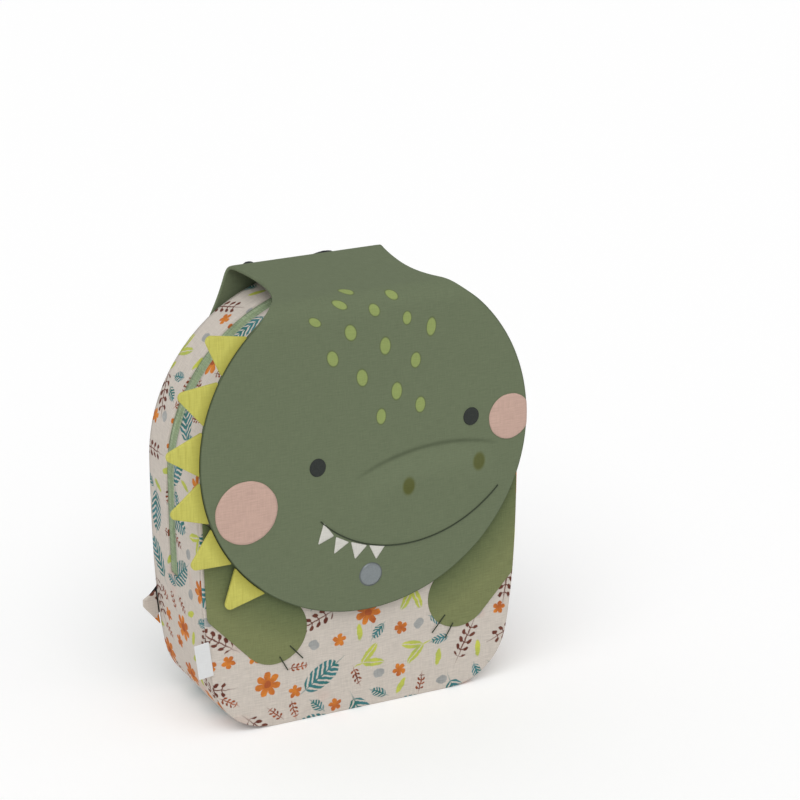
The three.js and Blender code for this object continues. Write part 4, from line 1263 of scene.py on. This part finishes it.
# Webbing and adjusters: flat charcoal webbing runs from each tab up through a moulded adjuster at the
# strap's lower end, and its free tail hangs down.
webbing_square = 0.35
webbing_colour = (44, 45, 47)
charcoal = finish_of("charcoal_webbing", webbing_colour, roughness=0.75)
woven(charcoal, webbing_colour, pitch=0.9 * mm, contrast=0.12, depth=0.25 * mm, slub=0.2)
plastic_look = {"roughness": 0.42, "grain": 1100.0, "relief": 0.04 * mm}
plastic = mottled("charcoal_plastic", (49, 50, 52), (44, 45, 47), (55, 56, 58), **plastic_look)
for side in ("left", "right"):
    name = f"webbing_{side}"
    piece_of(name + "_woven", strip_like(name, webbing_square), charcoal, "charcoal_webbing", name)
    softened(f"adjuster_{side}", plastic, by=0.5 * mm)

# Tabs: two small folded pieces of the printed linen, caught in the back seam near the base. The webbing
# is sewn to them.
for side in ("left", "right"):
    name = f"strap_tab_{side}"
    tab = cut_from(name, rings=10, round_by=0.5 * mm)
    smoothed(piece_of(name + "_linen", tab, linen, "printed_linen", name))

# Carrying handle: a round roll of the charcoal webbing that sags between two flat ends, which are sewn to
# the flap behind its crease.
handle_square = 0.8
handle_mesh = strip_like("carry_handle", handle_square)
piece_of("carry_handle_webbing", handle_mesh, charcoal, "charcoal_webbing", "carry_handle")

# Stitches: the handle's ends and the webbing's tab ends are sewn down with a boxed cross, and the free
# tails are hemmed with two rows. The straps are topstitched, and the flap's hem is sewn to the back panel
# over their ends.
stitch_long = 2.3 * mm
stitch_gap = 0.7 * mm
stitch_radius = 0.28 * mm
stitch_step = stitch_long + stitch_gap
box_inset = 2.2 * mm
box_long = 13 * mm
box_start = 2.5 * mm
tail_rows = (4 * mm, 7 * mm)
hem_rows = (3.5 * mm, 7 * mm)
hem_margin = 3 * mm
thread_lift = 0.05 * mm
sewing = {**embroidery, "relief": 0.1 * mm}
grey_thread = mottled("sewing_thread", (92, 94, 96), (80, 82, 84), (104, 106, 108), **sewing)
green_thread = mottled("green_sewing_thread", (84, 94, 66), (72, 82, 56), (98, 108, 78), **sewing)


def sew(seam, start, end):
    """Adds a row of stitches, each a small rounded thread, from one point to another."""
    row = end - start
    turn = row.to_track_quat("X", "Z").to_matrix().to_4x4()
    for index in range(max(1, round(row.length / stitch_step))):
        middle = start + row.normalized() * (index + 0.5) * stitch_step
        made = bmesh.ops.create_uvsphere(seam, u_segments=6, v_segments=4, radius=1)["verts"]
        size = Matrix.Diagonal((stitch_long / 2, stitch_radius, stitch_radius, 1))
        bmesh.ops.transform(seam, matrix=Matrix.Translation(middle) @ turn @ size, verts=made)


def on_strip(name, length, across, square):
    """A point on a strip's rear face, at a length from its start or, if negative, from its end."""
    rings = courses[name] if length >= 0 else courses[name][::-1]
    left = abs(length)
    for before, after in zip(rings, rings[1:]):
        step = (after[0] - before[0]).length
        if left <= step:
            share = left / step
            out = before[2] if before[2].y > 0 else -before[2]
            wide = before[1] if before[1].x > 0 else -before[1]
            half_wide = before[3] + (after[3] - before[3]) * share
            sideways = (half_wide - box_inset) * across
            height = math.sqrt(1 - (abs(sideways) / half_wide) ** (2 / square)) ** square
            return before[0].lerp(after[0], share) + out * before[4] * height + wide * sideways
        left -= step


def box_cross(seam, name, end, square):
    """Sews a box with a cross in it near one end of a strip."""
    near, far = end * box_start, end * (box_start + box_long)
    places = ((near, -1), (near, 1), (far, 1), (far, -1))
    corners = [on_strip(name, length, across, square) for length, across in places]
    for first, second in ((0, 1), (1, 2), (2, 3), (3, 0), (0, 2), (1, 3)):
        sew(seam, corners[first], corners[second])


webbing_seam = bmesh.new()
for end in (1, -1):
    box_cross(webbing_seam, "carry_handle", end, handle_square)
for side in ("left", "right"):
    name = f"webbing_{side}"
    first, last = courses[name][0][0], courses[name][-1][0]
    tab_end = 1 if abs(first.x) > abs(last.x) else -1
    box_cross(webbing_seam, name, tab_end, webbing_square)
    for up in tail_rows:
        row = [on_strip(name, -tab_end * up, across, webbing_square) for across in (-1, 1)]
        sew(webbing_seam, *row)
piece_of("webbing_stitches", webbing_seam, grey_thread, "charcoal_webbing")

strap_seam = bmesh.new()
for side in ("left", "right"):
    name = f"shoulder_strap_{side}"
    whole = sum((after[0] - before[0]).length for before, after in zip(courses[name], courses[name][1:]))
    for index in range(2, int(whole / stitch_step) - 2):
        for across in (-1, 1):
            ends = [on_strip(name, at * stitch_step, across, strap_square) for at in (index, index + 1)]
            sew(strap_seam, *ends)
piece_of("strap_stitches", strap_seam, green_thread, "green_canvas")

hem_seam = bmesh.new()
for up in hem_rows:
    wide = half_width(hem_s - up) - hem_margin
    sew(hem_seam, on_flap(-wide, hem_s - up, thread_lift), on_flap(wide, hem_s - up, thread_lift))
piece_of("hem_stitches", hem_seam, green_thread, "green_canvas")
